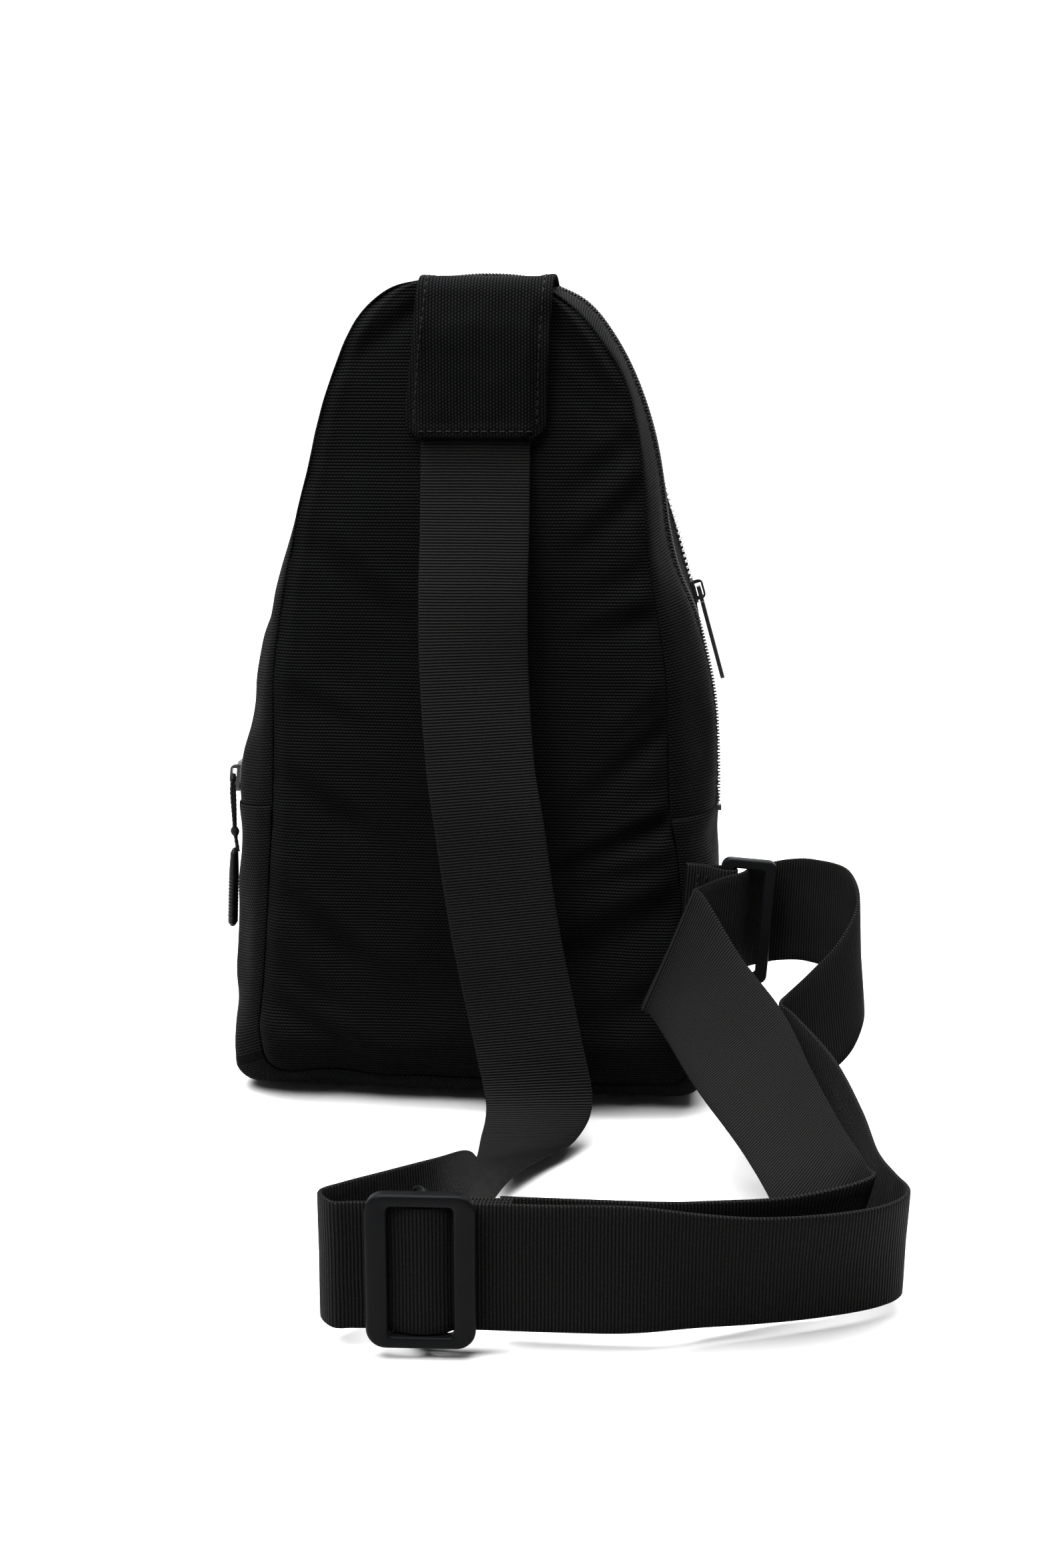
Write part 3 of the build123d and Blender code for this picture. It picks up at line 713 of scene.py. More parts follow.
def tooth(centre, out, along, across):
    """One moulded metal tooth: a block with a narrow waist, its head towards across."""
    # Distance across, half the length along the zipper and half the height.
    sections = [(-1.1, 0.55, 0.62), (-0.5, 0.50, 0.50), (0.0, 0.42, 0.55), (0.45, 0.62, 0.70),
                (0.95, 0.60, 0.66), (1.15, 0.35, 0.40)]
    corners = [(-1, -0.6), (-0.6, -1), (0.6, -1), (1, -0.6), (1, 0.6), (0.6, 1), (-0.6, 1),
               (-1, 0.6)]
    points = [centre + across * reach + along * (u * half_long) + out * (v * half_tall)
              for reach, half_long, half_tall in sections for u, v in corners]
    return np.array(points), capped_faces(len(sections), len(corners))


def teeth(name, side, node, low):
    """Row of metal teeth on one side of the pocket's zipper."""
    pitch, apart, lift = 2.3, 1.25, 0.25
    line, out = rail(POCKET_Y + side * apart, lift, low)
    along = lengths(line)
    tangent = unit(np.gradient(line, axis=0))
    parts = []
    position = pitch * (0.5 if side > 0 else 1.0)
    while position < along[-1]:
        i = int(np.searchsorted(along, position))
        across = unit(np.cross(tangent[i], out[i]))
        across = across * (-side * np.sign(across[1]))
        parts.append(tooth(line[i], out[i], tangent[i], across))
        position += pitch
    carry(merge(name, parts, TEETH), FLAP, "metal_teeth", node)


def seam_thread(name, depth, low, bodies):
    """Row of topstitching on the side wall."""
    thread = stitches(*rail(depth, THREAD_LIFT, low), SEAM_STITCH)
    carry(merge(name, thread, THREAD), bodies, "binding_tape")


def make_zippers():
    """Coils, teeth and the topstitching beside both zippers."""
    coil("zip_coil_rear_turns", ZIP_Y - COIL_APART, ROOT, "zip_coil_rear", SPLIT_Z + 4)
    coil("zip_coil_front_turns", ZIP_Y + COIL_APART, FLAP, "zip_coil_front", SPLIT_Z + 9)
    teeth("pocket_teeth_rear_row", -1, "pocket_teeth_rear", POCKET_SPLIT_Z + 3)
    teeth("pocket_teeth_front_row", 1, "pocket_teeth_front", POCKET_SPLIT_Z + 3)
    seam_thread("zip_rear_stitching", REAR_STITCH_Y, SPLIT_Z + 3, ROOT)
    seam_thread("zip_front_stitching", FRONT_STITCH_Y, SPLIT_Z + 3, FLAP)
    seam_thread("pocket_rear_stitching", POCKET_STITCH_Y, POCKET_SPLIT_Z, FLAP)


def make_walls():
    """Cloth of the side wall: a lower part and two strips that the main zipper parts."""
    z = LOOP_Z[:, None]
    y = np.array(DEPTHS)[None, :]
    hem = -0.5 * near_edge(z, SPLIT_Z, 8)
    lower = masked_piece("gusset_lower_cloth", lifted(0.7 * near_edge(z, SPLIT_Z + 2, 9)),
                         cells(BELOW, SPLIT_Z + 4, -1, DEPTH), OXFORD)
    carry(lower, ROOT, "oxford_cloth", "gusset_lower")
    rear = masked_piece("gusset_rear_cloth", lifted(hem + 0.5 * near_edge(y, REAR_RIM_Y, 3.5)),
                        cells(SPLIT_Z, ABOVE, -1, REAR_RIM_Y), OXFORD)
    carry(rear, ROOT, "oxford_cloth", "gusset_rear_strip")
    mask = (cells(SPLIT_Z, ABOVE, FRONT_RIM_Y, POCKET_RIM_Y)
            | cells(SPLIT_Z, POCKET_SPLIT_Z, POCKET_RIM_Y - 0.1, DEPTH))
    rim = (0.5 * near_edge(y, FRONT_RIM_Y, 3.5)
           + 0.4 * near_edge(y, POCKET_RIM_Y, 2) * (z > POCKET_SPLIT_Z))
    front = masked_piece("gusset_front_cloth", lifted(hem + rim), mask, OXFORD)
    carry(front, FLAP, "oxford_cloth", "gusset_front_strip")
    under = {"zip": (lifted(hem - 0.9), SPLIT_Z), "pocket": (lifted(-0.8), POCKET_SPLIT_Z - 4)}
    for kind, side, low_y, high_y, bodies in (("zip", "rear", 27.5, ZIP_Y, ROOT),
                                              ("zip", "front", ZIP_Y, 45, FLAP),
                                              ("pocket", "rear", 68, POCKET_Y, FLAP),
                                              ("pocket", "front", POCKET_Y, DEPTH, FLAP)):
        grid, low_z = under[kind]
        node = f"{kind}_tape_{side}"
        tape = masked_piece(node + "_cloth", grid, cells(low_z, ABOVE, low_y, high_y), TAPE,
                            TAPE_THICK)
        carry(tape, bodies, "zipper_tape", node)


def make_panels():
    """Back and front panels."""
    back = face_points(PANEL_FLAT, back_surface(PANEL_FLAT))
    carry(cloth_piece("back_panel_cloth", back, PANEL_FLAT, OXFORD), ROOT, "oxford_cloth",
          "back_panel")
    ahead = face_points(FRONT_FLAT, front_surface(FRONT_FLAT))
    cover = cloth_piece("front_panel_cloth", ahead[:, ::-1], FRONT_FLAT[:, ::-1], OXFORD)
    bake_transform(cover)
    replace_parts(cover, "front_lower_panel", "front_pocket_panel")


make_walls()
make_panels()
make_zippers()


# ---------------------------------------------------------------- inside the bag
FOAM_GAP = 3.4                  # from the back panel's face to the foam
FOAM_THICK = 3.2
PANEL_INSET = 4.0               # how far the padding stays inside the seams
FRONT_INSET = 5.0
POCKET_LOW_Z = 58               # the slip pocket's lower and upper edges
POCKET_HIGH_Z = 172


def inset_panel(flat, inset):
    """The outline's points (x, z) drawn in from its edge, more evenly than by scaling."""
    inward = unit(flat.reshape(-1, 2).mean(axis=0) - flat)
    return flat + inward * (inset * np.exp(-edge_distance(flat) / 30.0))[..., None]


def make_foam(flat, near, far):
    """Closed pad between two faces that share an outline."""
    rows, cols = flat.shape[:2]
    count = rows * cols
    faces = grid_faces(rows, cols)
    faces += [tuple(count + i for i in face[::-1]) for face in faces]
    rim = ([(0, j) for j in range(cols)] + [(i, cols - 1) for i in range(1, rows)]
           + [(rows - 1, j) for j in range(cols - 2, -1, -1)]
           + [(i, 0) for i in range(rows - 2, 0, -1)])
    rim = [i * cols + j for i, j in rim]
    faces += [(b, a, a + count, b + count) for a, b in zip(rim, rim[1:] + rim[:1])]
    sheets = [face_points(flat, y).reshape(-1, 3) for y in (near, far)]
    pad = new_object("back_pad_foam", np.vstack(sheets), faces, None, FOAM)
    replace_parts(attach(pad, "root"), "back_foam")


def lining(name, points, uv, bodies, node):
    """Sheet of lining cloth."""
    carry(cloth_piece(name, points, uv, LINING, LINING_THICK, 0), bodies, "lining_cloth", node)


def inner_wall(name, inset, clear, mask, material, thickness, bodies, slot, node):
    """Cloth or tape lying inside the side wall, at least clear above the floor."""
    shell = lifted(-inset)
    shell[..., 2] = np.maximum(shell[..., 2], clear)
    carry(masked_piece(name, shell, mask, material, thickness, 0), bodies, slot, node)


def make_inside():
    """Padded back, linings, slip pocket and the bindings over the seams."""
    flat = inset_panel(PANEL_FLAT, PANEL_INSET)
    near = back_surface(PANEL_FLAT) + FOAM_GAP
    swell = off_edge(edge_distance(flat), 4.0)
    far = near + 0.6 + (FOAM_THICK + rough(face_points(flat, 0.0), 20.0, 4.0) * 0.5) * swell
    make_foam(flat, near, far)
    behind = face_points(flat, far + 0.6)[:, ::-1]
    lining("back_lining_cloth", behind, flat[:, ::-1], ROOT, "back_lining")
    height = flat[:, :, 1].mean(axis=1)
    pocket = (height > POCKET_LOW_Z) & (height < POCKET_HIGH_Z)
    face = behind[pocket][:, 3:-3]
    face = face + np.array([0, 1.6, 0]) + rough(face, 22.0, 9.0)[..., None] * np.array([0, 0.7, 0])
    lining("slip_pocket_cloth", face, flat[:, ::-1][pocket][:, 3:-3] + 200.0, ROOT,
           "inner_slip_pocket")
    front_flat = inset_panel(FRONT_FLAT, FRONT_INSET)
    high = front_flat[:, :, 1].mean(axis=1) > SPLIT_Z + 3
    ahead = face_points(front_flat, front_surface(FRONT_FLAT) - 4.2)
    lining("pocket_back_lining_cloth", ahead[high], front_flat[high], FLAP,
           "pocket_back_lining")
    inner_wall("gusset_lining_cloth", 1.9, 1.6, cells(BELOW, SPLIT_Z - 2, 4, 78), LINING,
               LINING_THICK, ROOT, "lining_cloth", "gusset_lining")
    inner_wall("back_binding_tape", 2.7, 2.4, cells(BELOW, ABOVE, 4.9, 12.1), BINDING,
               TAPE_THICK, ROOT, "binding_tape", "back_seam_binding")
    inner_wall("front_binding_tape", 2.7, 2.4, cells(SPLIT_Z + 2, ABOVE, 63.9, 68.1), BINDING,
               TAPE_THICK, FLAP, "binding_tape", "front_seam_binding")


make_inside()


# ---------------------------------------------------------------- shoulder strap
# Crossings of the strap, each from its first edge to its second, in order from the end sewn
# into the yoke to the end beside the adjuster, with the adjuster at rest.
STRAP = [
    ((-19, -3.9, 270), (19, -3.9, 270)),
    ((-19, -4.0, 250), (19, -4.0, 250)),
    ((-18.8, -10, 217), (19.2, -10, 217)),
    ((-18.5, -17, 194), (19, -14, 194)),
    ((-17.5, -22, 166), (19.5, -15, 167)),
    ((-15, -26, 135), (22, -20, 137)),
    ((-12, -28, 114), (25.5, -23, 117)),
    ((-6, -29, 74), (31.5, -25, 78)),
    ((2.5, -31, 33), (40, -28, 37)),
    ((7.5, -39, 14), (44.5, -31, 13)),
    ((8, -61, 10), (39.5, -44, 4)),
    ((10, -90, 16), (30, -60, 4)),
    ((11.5, -110, 25), (20, -79, 4)),
    ((11, -127, 34.5), (14.5, -104, 5)),
    ((5, -150, 41.5), (6, -141, 5)),
    ((-9, -165, 43), (-9, -162, 5)),
    ((-19, -173, 43), (-19, -172, 5)),
    # Upright through the adjuster and along the floor in front.
    *[((x, y, 43), (x, y, 5)) for x, y in (
        (-24.5, -179), (-20, -185.7), (-14, -185.4), (-6, -185.0), (-1, -186.6), (5.5, -187.4),
        (12, -186.0), (17, -183.4), (40, -182.6), (64, -181.1))],
    ((84, -180.8, 41.5), (84, -174, 4)),
    ((100, -179, 40.2), (100, -168.5, 3)),
    ((118, -174, 39.5), (117.5, -161.5, 2)),
    ((134, -166.5, 39), (134, -154, 1.7)),
    ((142.5, -158.5, 38.8), (143, -147, 1.6)),
    ((144.8, -151, 38.8), (145, -140.5, 1.6)),
    ((141.8, -142, 39), (141.5, -132.5, 1.8)),
    ((137.7, -128, 40), (136, -119, 3)),
    ((134.5, -105, 44), (131.5, -97, 7)),
    ((127.5, -78, 50.5), (124.5, -73, 13)),
    ((115.5, -54, 57), (115.5, -56, 19)),
    ((111.2, -48.5, 59), (111.8, -51, 21)),
    ((114, -43, 61), (115.5, -46.5, 23)),
    ((122, -39, 68), (125.5, -46.5, 31)),
    ((132, -33.5, 78), (136.5, -41.5, 41)),
    ((138.5, -23, 89), (141, -30, 52)),
    ((135.5, -9, 97), (136, -13, 59)),
    ((124, 1, 98), (123.5, 0, 60)),
    ((115, 4.2, 97), (113.5, 4.2, 59)),
    ((107, 4.0, 95.3), (104.5, 4.0, 57.3)),
    ((101.5, -0.5, 95), (99, -0.5, 57)),
    ((97.8, -7, 94.5), (95, -7, 56.5)),
    ((91, -10.5, 93.5), (87, -11.5, 55.5)),
    ((83, -11, 90), (66, -17, 47.5)),
    ((80.5, -13.8, 89), (62.5, -20, 46)),
    ((84, -16.8, 87.5), (66, -23.5, 45)),
    ((97, -36, 71.5), (72.5, -47, 44)),
    ((111, -64, 61), (83, -76, 38)),
    ((120, -91, 50), (97.5, -112, 32)),
    ((127.5, -116, 43), (107, -137, 25)),
    ((131.8, -132, 41), (113, -146, 13)),
    ((134, -139.5, 39.5), (122, -144, 2.6)),
    ((135.8, -143.3, 39.3), (125, -147.5, 2.4)),
    ((133, -147.2, 39.1), (122.5, -151, 2.2)),
    ((124, -154, 39), (117, -153.5, 2)),
    ((107.6, -163.5, 39.5), (106, -157.5, 2)),
    ((87, -170, 40.5), (87, -166.5, 3)),
    ((72, -173, 41), (72, -172.5, 4)),
    ((38, -173.6, 41), (38, -173.6, 4)),
    ((27, -173.7, 41), (27, -173.7, 4)),
]
STRAP_STATIONS = 900
STRAP_THICK = 1.45
WEB_HALF = 19.0                 # half the webbing's width
WEB_CELLS = 12                  # cells across the webbing
SELVEDGE_POINTS = 3             # points round each selvedge
SELVEDGE = 0.03                 # how far it bulges, as a share of half the width
WEB_CLEAR = 0.2                 # lowest height of the webbing on the floor
LOOP_STATIONS = 90
LOOP_THICK = 1.4


def strap_frames(crossings, count):
    """Edges and centre of a strap at even stations, with the direction off its face."""
    pairs = np.array([(*a, *b) for a, b in crossings], float)
    line = smooth_curve(pairs, count)
    first, second = line[:, :3], line[:, 3:]
    centre = (first + second) / 2
    along = unit(np.gradient(centre, axis=0))
    lift = unit(np.cross(along, unit(second - first)))
    return first, second, centre, lift


def webbing_section():
    """Section of webbing: position across from -1 to 1, and height from -1 to 1."""
    flat = np.linspace(-1, 1, WEB_CELLS + 1)
    turn = np.linspace(math.pi / 2, -math.pi / 2, SELVEDGE_POINTS + 2)[1:-1]
    top = [(s, 1.0) for s in flat]
    right = [(1 + SELVEDGE * math.cos(a), math.sin(a)) for a in turn]
    bottom = [(s, -1.0) for s in flat[::-1]]
    left = [(-1 - SELVEDGE * math.cos(a), -math.sin(a)) for a in turn]
    return np.array(top + right + bottom + left)


def webbing(name, crossings, count, thick, cup=0.35, seed=1.0):
    """Flat woven strap following its crossings, with rounded selvedges."""
    first, second, centre, lift = strap_frames(crossings, count)
    section = webbing_section()
    s, h = section[:, 0][None, :, None], section[:, 1][None, :, None]
    middle = centre[:, None] + (second - first)[:, None] / 2 * s
    wave = rough(centre, 16.0, seed)[:, None, None] * 0.4 + cup * (1 - s ** 2)
    p = middle + lift[:, None] * (h * thick / 2 + wave * np.minimum(1, 1.02 - np.abs(s)))
    p[..., 2] = np.maximum(p[..., 2], WEB_CLEAR)
    v = lengths(centre)[:, None] + 0 * section[None, :, 0]
    u = np.broadcast_to((section[:, 0] + 1)[None] * WEB_HALF, v.shape)
    obj = new_object(name, p.reshape(-1, 3), capped_faces(count, len(section)),
                     np.stack([u, v], axis=-1).reshape(-1, 2), WEB)
    return obj, lengths(centre)[-1]


def make_strap():
    """The long strap, from the yoke to the sewn end beside the adjuster."""
    strap, length = webbing("shoulder_strap", STRAP, STRAP_STATIONS, STRAP_THICK)
    carry(strap, ROOT, "webbing", "shoulder_webbing")


# The ring's and the adjuster's places, and the paths (x, y) of the webbing round their bars.
RING_AXIS = (91.0, -3.0, 76.0)
RING_TILT = math.radians(4.0)
TAB_PATH = [(-15, 2.3), (-11, 2.3), (-7, 2.4), (-3.6, 2.9), (-1, 2.95), (1.6, 2.6), (3.1, 1.2),
            (3.3, -0.6), (2.6, -2.2), (0.6, -2.9), (-1.8, -2.8), (-4.2, -1.6), (-7, 0.1),
            (-11, 0.65), (-15, 0.65)]
GLIDE_ORIGIN = (5.5, -184.3, 24.0)
GLIDE_TURN = math.atan2(0.055, 1.0)
END_PATH = [(26, 3.6), (18, 3.6), (10, 3.7), (5.5, 4.4), (3.0, 5.7), (0, 6.1), (-2.6, 5.6),
            (-3.7, 4.0), (-2.8, 2.3), (0, 1.8), (5, 1.75), (11, 1.85), (18, 1.9), (26, 1.9)]


def webbing_loop(name, path, place, body, node, rows):
    """Short piece of webbing standing on edge that follows a path (x, y). Its rows of
    stitching are given as x, y and the side that they face."""
    crossings = [(place(x, y, WEB_HALF), place(x, y, -WEB_HALF)) for x, y in path]
    piece, _ = webbing(name, crossings, LOOP_STATIONS, LOOP_THICK, cup=0.0, seed=5.0)
    carry(piece, (body,), "webbing", node)
    parts = []
    for x, y, side in rows:
        line = np.array([place(x, y, z) for z in np.linspace(2 - WEB_HALF, WEB_HALF - 2, 60)])
        out = np.array(place(0, side, 0)) - np.array(place(0, 0, 0))
        parts += stitches(line, np.broadcast_to(out, line.shape), LOOP_STITCH)
    carry(merge(name + "_stitching", parts, THREAD), (body,), "webbing")


def ring_place(x, y, z):
    """Point given about the ring's near bar."""
    c, s = math.cos(RING_TILT), math.sin(RING_TILT)
    return (RING_AXIS[0] + x * c + z * s, RING_AXIS[1] + y, RING_AXIS[2] - x * s + z * c)


def glide_place(x, y, z):
    """Point given about the adjuster's middle."""
    c, s = math.cos(GLIDE_TURN), math.sin(GLIDE_TURN)
    return (GLIDE_ORIGIN[0] + x * c - y * s, GLIDE_ORIGIN[1] + x * s + y * c,
            GLIDE_ORIGIN[2] + z)


make_strap()
webbing_loop("ring_tab_webbing", TAB_PATH, ring_place, "root", "ring_tab",
             [(-7.2, -0.75, -1), (-10.5, -0.15, -1)])
webbing_loop("strap_end_webbing", END_PATH, glide_place, "adjuster", "strap_end_loop",
             [(12, 1.1, -1), (20, 1.15, -1), (12, 4.45, 1), (20, 4.4, 1)])


# ---------------------------------------------------------------- yoke
YOKE_PATH = [(-5.9, 250.5), (-6.3, 262), (-6.3, 278), (-6.2, 292), (-5.4, 300), (-2.8, 304.4),
             (2.0, 306.2), (9, 306.4), (15, 305.4), (20, 303.6)]
YOKE_LEFT = [(250.5, -25), (259, -25), (277, -23.2), (293, -21.3), (307, -20)]
YOKE_RIGHT = [(250.5, 25.5), (259, 25.6), (277, 26), (293, 27), (307, 28)]
YOKE_CORNER = 6.0
YOKE_FOOT = 250.5               # height of the yoke's lower edge
YOKE_THICK = 1.3
YOKE_INNER_THICK = 0.8
YOKE_ROWS = 64
YOKE_COLS = 44
YOKE_TOPSTITCH = 3.0            # distance of the topstitch from the edge
YOKE_TOPSTITCH_END = 62         # how far up the yoke the side rows go


def yoke_surface():
    """Grid of the yoke cloth: rows up along it, columns across."""
    hem, stitch_dip, strap_rise, side_drop, gap = 0.55, 0.35, 1.3, 1.6, 2.2
    spine = smooth_curve(YOKE_PATH, YOKE_ROWS)
    run = lengths(spine)
    z = YOKE_FOOT + run
    left = np.interp(z, *np.array(YOKE_LEFT).T)
    right = np.interp(z, *np.array(YOKE_RIGHT).T)
    round_off = np.clip(YOKE_CORNER - run, 0, YOKE_CORNER)
    cut = YOKE_CORNER - np.sqrt(np.maximum(YOKE_CORNER ** 2 - round_off ** 2, 0))
    left, right = left + cut, right - cut
    s = np.linspace(0, 1, YOKE_COLS)[None, :]
    x = left[:, None] + (right - left)[:, None] * s
    tangent = unit(np.gradient(spine, axis=0))
    out = np.stack([-tangent[:, 1], tangent[:, 0]], axis=1)
    edge = np.minimum(np.minimum(x - left[:, None], right[:, None] - x), run[:, None])
    lift = hem * ease((5.2 - edge) / 1.2) - stitch_dip * hill(edge, YOKE_TOPSTITCH, 0.6)
    over_strap = ease((22 - np.abs(x)) / 3) * strap_rise - side_drop * ease(
        (np.abs(x) - WEB_HALF) / 5)
    over_strap = over_strap * ease((300 - z) / 12)[:, None]
    stand_off = gap * ease((x - 14) / 12) * hill(z, 282, 14)[:, None]
    spot = np.stack([x, np.zeros_like(x), np.broadcast_to(z[:, None], x.shape)], axis=-1)
    soft = rough(spot, 14.0, 4.0) * 0.55 + rough(spot, 6.0, 7.0) * 0.18
    amount = lift + over_strap + stand_off + soft * ease(edge / 4)
    p = np.stack([x, spine[:, 0][:, None] + out[:, 0][:, None] * amount,
                  spine[:, 1][:, None] + out[:, 1][:, None] * amount], axis=-1)
    uv = np.stack([np.broadcast_to(run[:, None], x.shape), x], axis=-1)
    return p, uv, edge, run


def yoke_stitch_lines(p, edge, run):
    """Lines of the yoke's topstitch, left, right and foot, with their outward directions."""
    normal = -grid_normals(p)
    rows, cols = p.shape[:2]
    half = cols // 2
    level = [i for i in range(rows) if YOKE_TOPSTITCH <= run[i] < YOKE_TOPSTITCH_END]
    lines = []
    for start, near in ((0, edge[:, :half]), (half, edge[:, half:])):
        pick = [start + int(np.argmin(np.abs(near[i] - YOKE_TOPSTITCH))) for i in level]
        lines.append((p[level, pick], normal[level, pick]))
    i = int(np.argmin(np.abs(run - YOKE_TOPSTITCH)))
    keep = [j for j in range(cols) if edge[i, j] > YOKE_TOPSTITCH * 0.8]
    lines.append((p[i, keep], normal[i, keep]))
    return [(line, np.where(out[:, 1:2] > 0.3, -out, out)) for line, out in lines]


def make_yoke():
    """Outer cloth of the yoke with its topstitch, and the inner layer."""
    p, uv, edge, run = yoke_surface()
    outer = cloth_piece("yoke_outer_cloth", p, uv, OXFORD, YOKE_THICK)
    back = p + np.array([0, 1.9, -0.6]) * ease(1 - run / 80)[:, None, None]
    inner = cloth_piece("yoke_inner_cloth", back[1:-2, 2:-2] + [0, 0.2, -1.5], uv[1:-2, 2:-2],
                        OXFORD, YOKE_INNER_THICK)
    carry(outer, ROOT, "oxford_cloth", "yoke_outer")
    carry(inner, ROOT, "oxford_cloth", "yoke_inner")
    parts = []
    for line, out in yoke_stitch_lines(p, edge, run):
        parts += stitches(even(line, 200), even(out, 200), YOKE_STITCH)
    carry(merge("yoke_stitching", parts, THREAD), ROOT, "binding_tape")


make_yoke()


# ---------------------------------------------------------------- carried-over hardware
SHARP_ANGLE = math.radians(35)
EDGE_BEVEL = 0.25


def dress(node, material, bevel=EDGE_BEVEL):
    """CAD node kept as it is, with soft edges and its material."""
    obj = NODES[node]
    obj.data.materials.clear()
    obj.data.materials.append(material)
    if bevel:
        edge = obj.modifiers.new("soft_edges", "BEVEL")
        edge.width = bevel * MM
        edge.segments = 2
        edge.limit_method = "ANGLE"
        edge.angle_limit = SHARP_ANGLE
    obj.data.polygons.foreach_set("use_smooth", [False] * len(obj.data.polygons))


GLIDE_HALF_X = 15.75
GLIDE_HALF_Z = 23.5
GLIDE_BAR = 6.3                 # width of the side bars
GLIDE_END = 3.6                 # width of the end bars
GLIDE_CORNER = 5.6
GLIDE_HOLE_CORNER = 1.5
GLIDE_THICK = 3.5
GLIDE_REAR_Y = -1.1
# Section of the frame's bars: share across from the hole, share of the thickness forwards.
GLIDE_PROFILE = [(0, 0), (0, 0.05), (0, 0.74), (0.03, 0.86), (0.10, 0.95), (0.2, 1.0), (0.5, 1.03),
                 (0.8, 1.0), (0.9, 0.95), (0.97, 0.86), (1, 0.74), (1, 0.05), (1, 0)]
# Upper half of the middle bar's path (y, z), from the frame back and down to the middle.
GLIDE_ARCH = [(-2.4, 21.6), (0.6, 22.0), (2.9, 21.6), (3.9, 19.6), (3.9, 10), (3.9, 0)]


def rounded_outline(half_x, half_z, radius):
    """Closed outline (x, z) of a rectangle with round corners and points along its sides."""
    steps = 8
    points = []
    for k, (sx, sz) in enumerate([(1, 1), (-1, 1), (-1, -1), (1, -1)]):
        turn = np.linspace(k, k + 1, steps + 1) * math.pi / 2
        corner = np.array([sx * (half_x - radius), sz * (half_z - radius)])
        points += [corner + radius * np.array([math.cos(a), math.sin(a)]) for a in turn]
    return np.array(points)


def make_glide():
    """Three-bar adjuster: moulded frame with soft front edges, and its middle bar behind."""
    outer = rounded_outline(GLIDE_HALF_X, GLIDE_HALF_Z, GLIDE_CORNER)
    inner = rounded_outline(GLIDE_HALF_X - GLIDE_BAR, GLIDE_HALF_Z - GLIDE_END, GLIDE_HOLE_CORNER)
    points = []
    for a, b in zip(outer, inner):
        for share, rise in GLIDE_PROFILE:
            x, z = b + (a - b) * share
            points.append(glide_place(x, GLIDE_REAR_Y - GLIDE_THICK * rise, z))
    moulding = (np.array(points), grid_faces(len(outer), len(GLIDE_PROFILE), True, True))
    arch = GLIDE_ARCH + [(y, -z) for y, z in GLIDE_ARCH[-2::-1]]
    arch = smooth_curve([(0, y, z) for y, z in arch], 90)
    bar = tube(np.array([glide_place(*point) for point in arch]), 1.1, 14, squash=(2.2, 1.0),
               up=(0.05, 1, 0.02))
    piece = merge("adjuster_moulding", [moulding, bar], PLASTIC)
    carry(piece, ("adjuster",), "moulded_plastic", "tri_glide")


def box_mm(node):
    """A CAD node's lowest and highest corners, in millimetres."""
    return (np.array(corner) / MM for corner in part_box(node))


def braid(line, radius):
    """Braided cord along a line: a tube with small even lumps."""
    return tube(line, radius + 0.07 * np.sin(np.arange(len(line)) * 1.15), 10)


def make_pull_cord():
    """Braided cord loop through the slider's hoop, with its knot."""
    low, high = box_mm("main_pull_cord")
    middle_y = (low[1] + high[1]) / 2
    top = np.array([high[0] - 1.4, middle_y, high[2] - 1.1])
    knot = np.array([low[0] + 2.6, middle_y, low[2] + 7.0])
    parts = []
    for sign in (-1, 1):
        line = smooth_curve([top, top + [-0.3, sign * 1.6, -1.2],
                             (top * 0.7 + knot * 0.3) + [-0.5, sign * 2.2, 0],
                             (top * 0.3 + knot * 0.7) + [-0.2, sign * 1.3, 0],
                             knot + [0, sign * 0.5, 0]], 70)
        parts.append(braid(line, 0.72))
    parts.append(tube(smooth_curve([knot + [0, 0, 1.8], knot, knot + [0.3, 0, -2.2]], 16),
                      1.75 * np.sin(np.linspace(0.5, 2.6, 16)), 14))
    parts.append(braid(smooth_curve([knot, knot + [0.4, 0, -4], knot + [1.0, 0, -8.5]], 24), 0.78))
    carry(merge("main_pull_braid", parts, CORD), ("main_pull",), "pull_cord", "main_pull_cord")


def make_pull_grip():
    """Moulded grip with round ends, a narrower neck and fine ribs."""
    low, high = box_mm("main_pull_grip")
    centre_y = (low[1] + high[1]) / 2
    start = np.array([high[0] - 0.6, centre_y, high[2]])
    end = np.array([high[0] - 2.4, centre_y, low[2]])
    share = np.linspace(0, 1, 90)
    line = start + (end - start) * share[:, None]
    ends = np.minimum(1, np.sqrt(np.clip(np.minimum(share, 1 - share) / 0.07, 0, 1)) + 0.02)
    ribbed = (np.abs(share - 0.62) < 0.24) * 0.06 * np.sin(share * 150)
    neck = 0.78 + 0.22 * ease(share / 0.35)
    part = tube(line, ends * neck * (1 + ribbed), 28, squash=(3.3, 1.9), up=(1, 0, 0))
    carry(merge("main_pull_moulding", [part], GRIP), ("main_pull",), "pull_grip", "main_pull_grip")


def dress_hardware():
    """Materials for the pieces that keep their CAD shape."""
    dress("rectangular_ring", PLASTIC, 0.0)
    for node in ("main_slider", "pocket_slider", "pocket_pull_tab", "zip_end_stops"):
        dress(node, ENAMEL)


make_glide()
make_pull_cord()
make_pull_grip()
dress_hardware()


# ---------------------------------------------------------------- camera, floor and light
CAMERA_AZIMUTH = math.radians(7.0)      # to the right of straight behind the bag
CAMERA_TURN = math.radians(5.6)         # its aim, to the left
CAMERA_PITCH = math.radians(12.3)       # its aim, downwards
CAMERA_AWAY = 668.0
CAMERA_HEIGHT = 270.0
LENS = 42.35
SENSOR = 36.0
FLOOR_DROP = 0.4                        # keeps the floor just clear of the cloth
SURROUND = 0.07


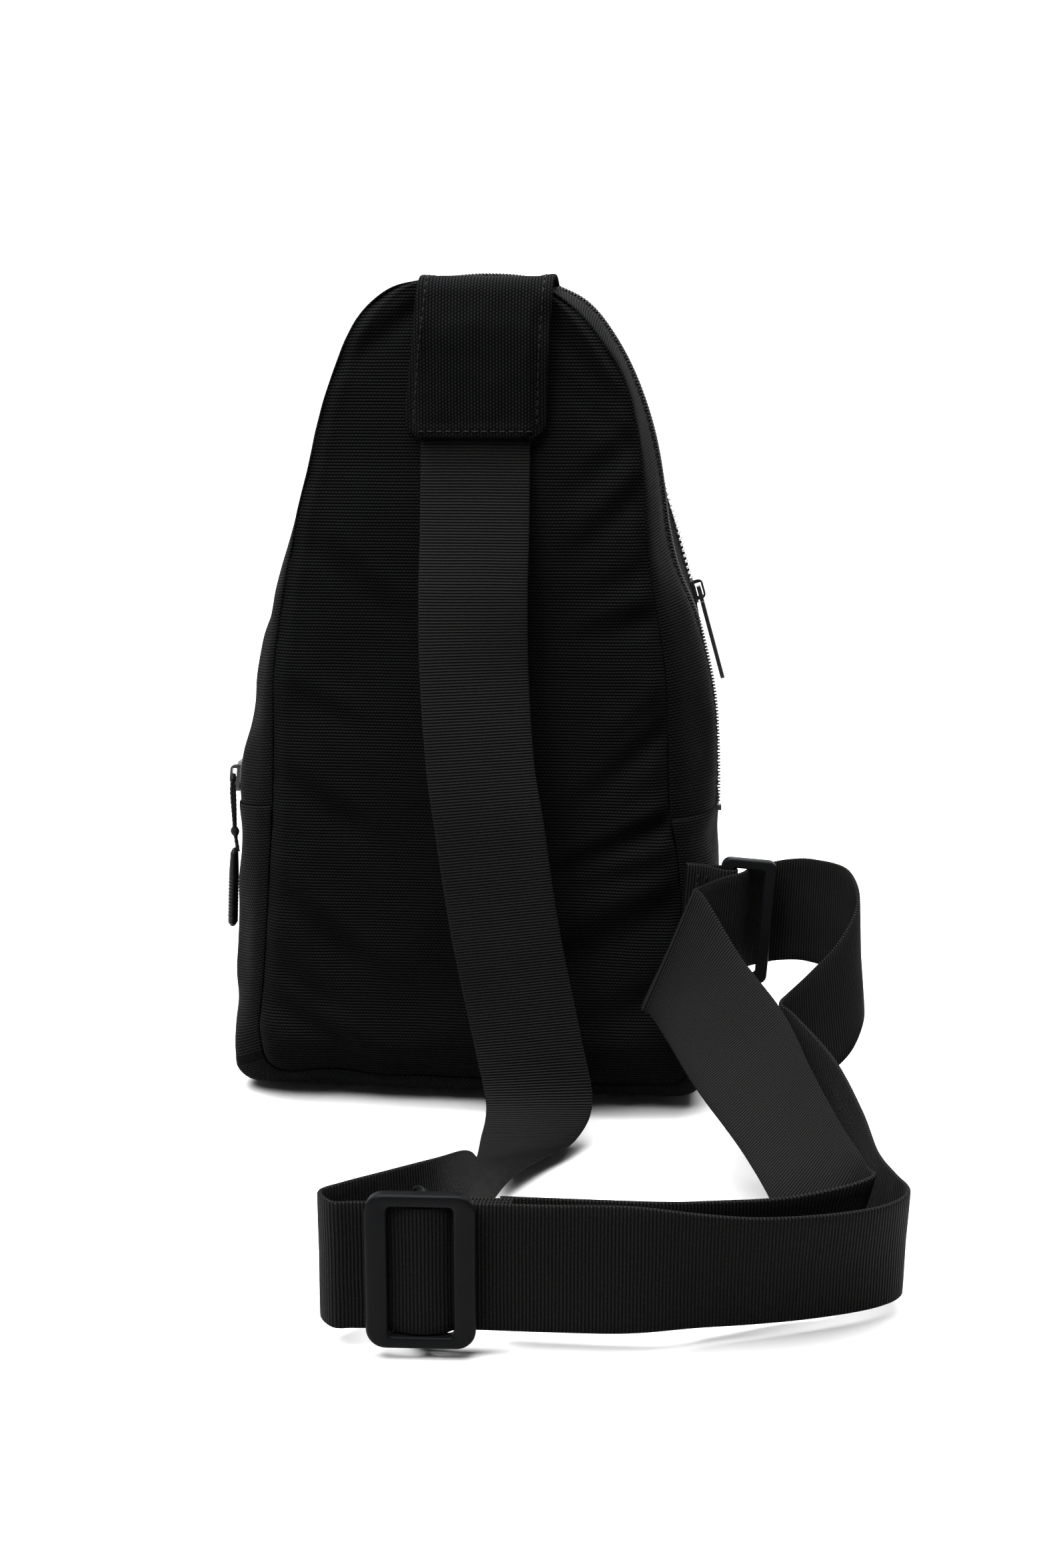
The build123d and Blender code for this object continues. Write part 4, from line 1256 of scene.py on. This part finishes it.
def make_camera():
    """Camera above and to the right of the bag's back, looking slightly down."""
    data = bpy.data.cameras.new("camera")
    data.sensor_width = SENSOR
    data.lens = LENS
    data.clip_start, data.clip_end = 0.02, 20
    camera = bpy.data.objects.new("camera", data)
    bpy.context.scene.collection.objects.link(camera)
    camera.location = Vector((CAMERA_AWAY * math.sin(CAMERA_AZIMUTH),
                              -CAMERA_AWAY * math.cos(CAMERA_AZIMUTH), CAMERA_HEIGHT)) * MM
    level = math.cos(CAMERA_PITCH)
    forward = Vector((-math.sin(CAMERA_TURN) * level, math.cos(CAMERA_TURN) * level,
                      -math.sin(CAMERA_PITCH)))
    camera.rotation_mode = "QUATERNION"
    camera.rotation_quaternion = forward.to_track_quat("-Z", "Y")
    bpy.context.scene.camera = camera


def make_floor():
    """White sweep: a floor that curves up behind the bag."""
    profile = smooth_curve([(-2500, 0), (-1200, 0), (500, 0), (900, 40), (1150, 300),
                            (1200, 900), (1200, 2600)], 60)
    width = np.linspace(-2600, 2600, 12)
    grid = np.array([[(x, y, z) for x in width] for y, z in profile])
    white = Shader("studio_white", (0.93, 0.93, 0.93), 0.75, Specular_IOR_Level=0.15)
    grain = white.noise(white.object_point(), 900.0, 2.0)
    white.bump(grain, 0.02, 0.3)
    floor = new_object("floor", grid.reshape(-1, 3), grid_faces(*grid.shape[:2]), None,
                       white.material)
    floor.location.z = -FLOOR_DROP * MM
    floor.visible_diffuse = False       # keeps the underside of the cloth from washing out


def area_light(name, place, target, size, power):
    """Soft rectangular light, all in millimetres and watts."""
    data = bpy.data.lights.new(name, "AREA")
    data.shape = "RECTANGLE"
    data.size, data.size_y = size[0] * MM, size[1] * MM
    data.energy = power
    lamp = bpy.data.objects.new(name, data)
    lamp.location = Vector(place) * MM
    lamp.rotation_mode = "QUATERNION"
    aim = (Vector(target) - Vector(place)).normalized()
    lamp.rotation_quaternion = aim.to_track_quat("-Z", "Y")
    bpy.context.scene.collection.objects.link(lamp)


def make_lights():
    """Large soft lights from above, and a faint white surround."""
    area_light("overhead", (-250, -350, 1500), (0, -40, 0), (1500, 1300), 48)
    area_light("front", (-480, -760, 980), (0, 0, 260), (420, 360), 6)
    area_light("backdrop", (0, 300, 2300), (0, 1200, 500), (3000, 1400), 110)
    world = bpy.data.worlds.new("surround")
    world.use_nodes = True
    background = world.node_tree.nodes["Background"]
    background.inputs["Color"].default_value = (1, 1, 1, 1)
    background.inputs["Strength"].default_value = SURROUND
    bpy.context.scene.world = world
    bpy.context.scene.view_settings.view_transform = "Standard"


make_camera()
make_floor()
make_lights()
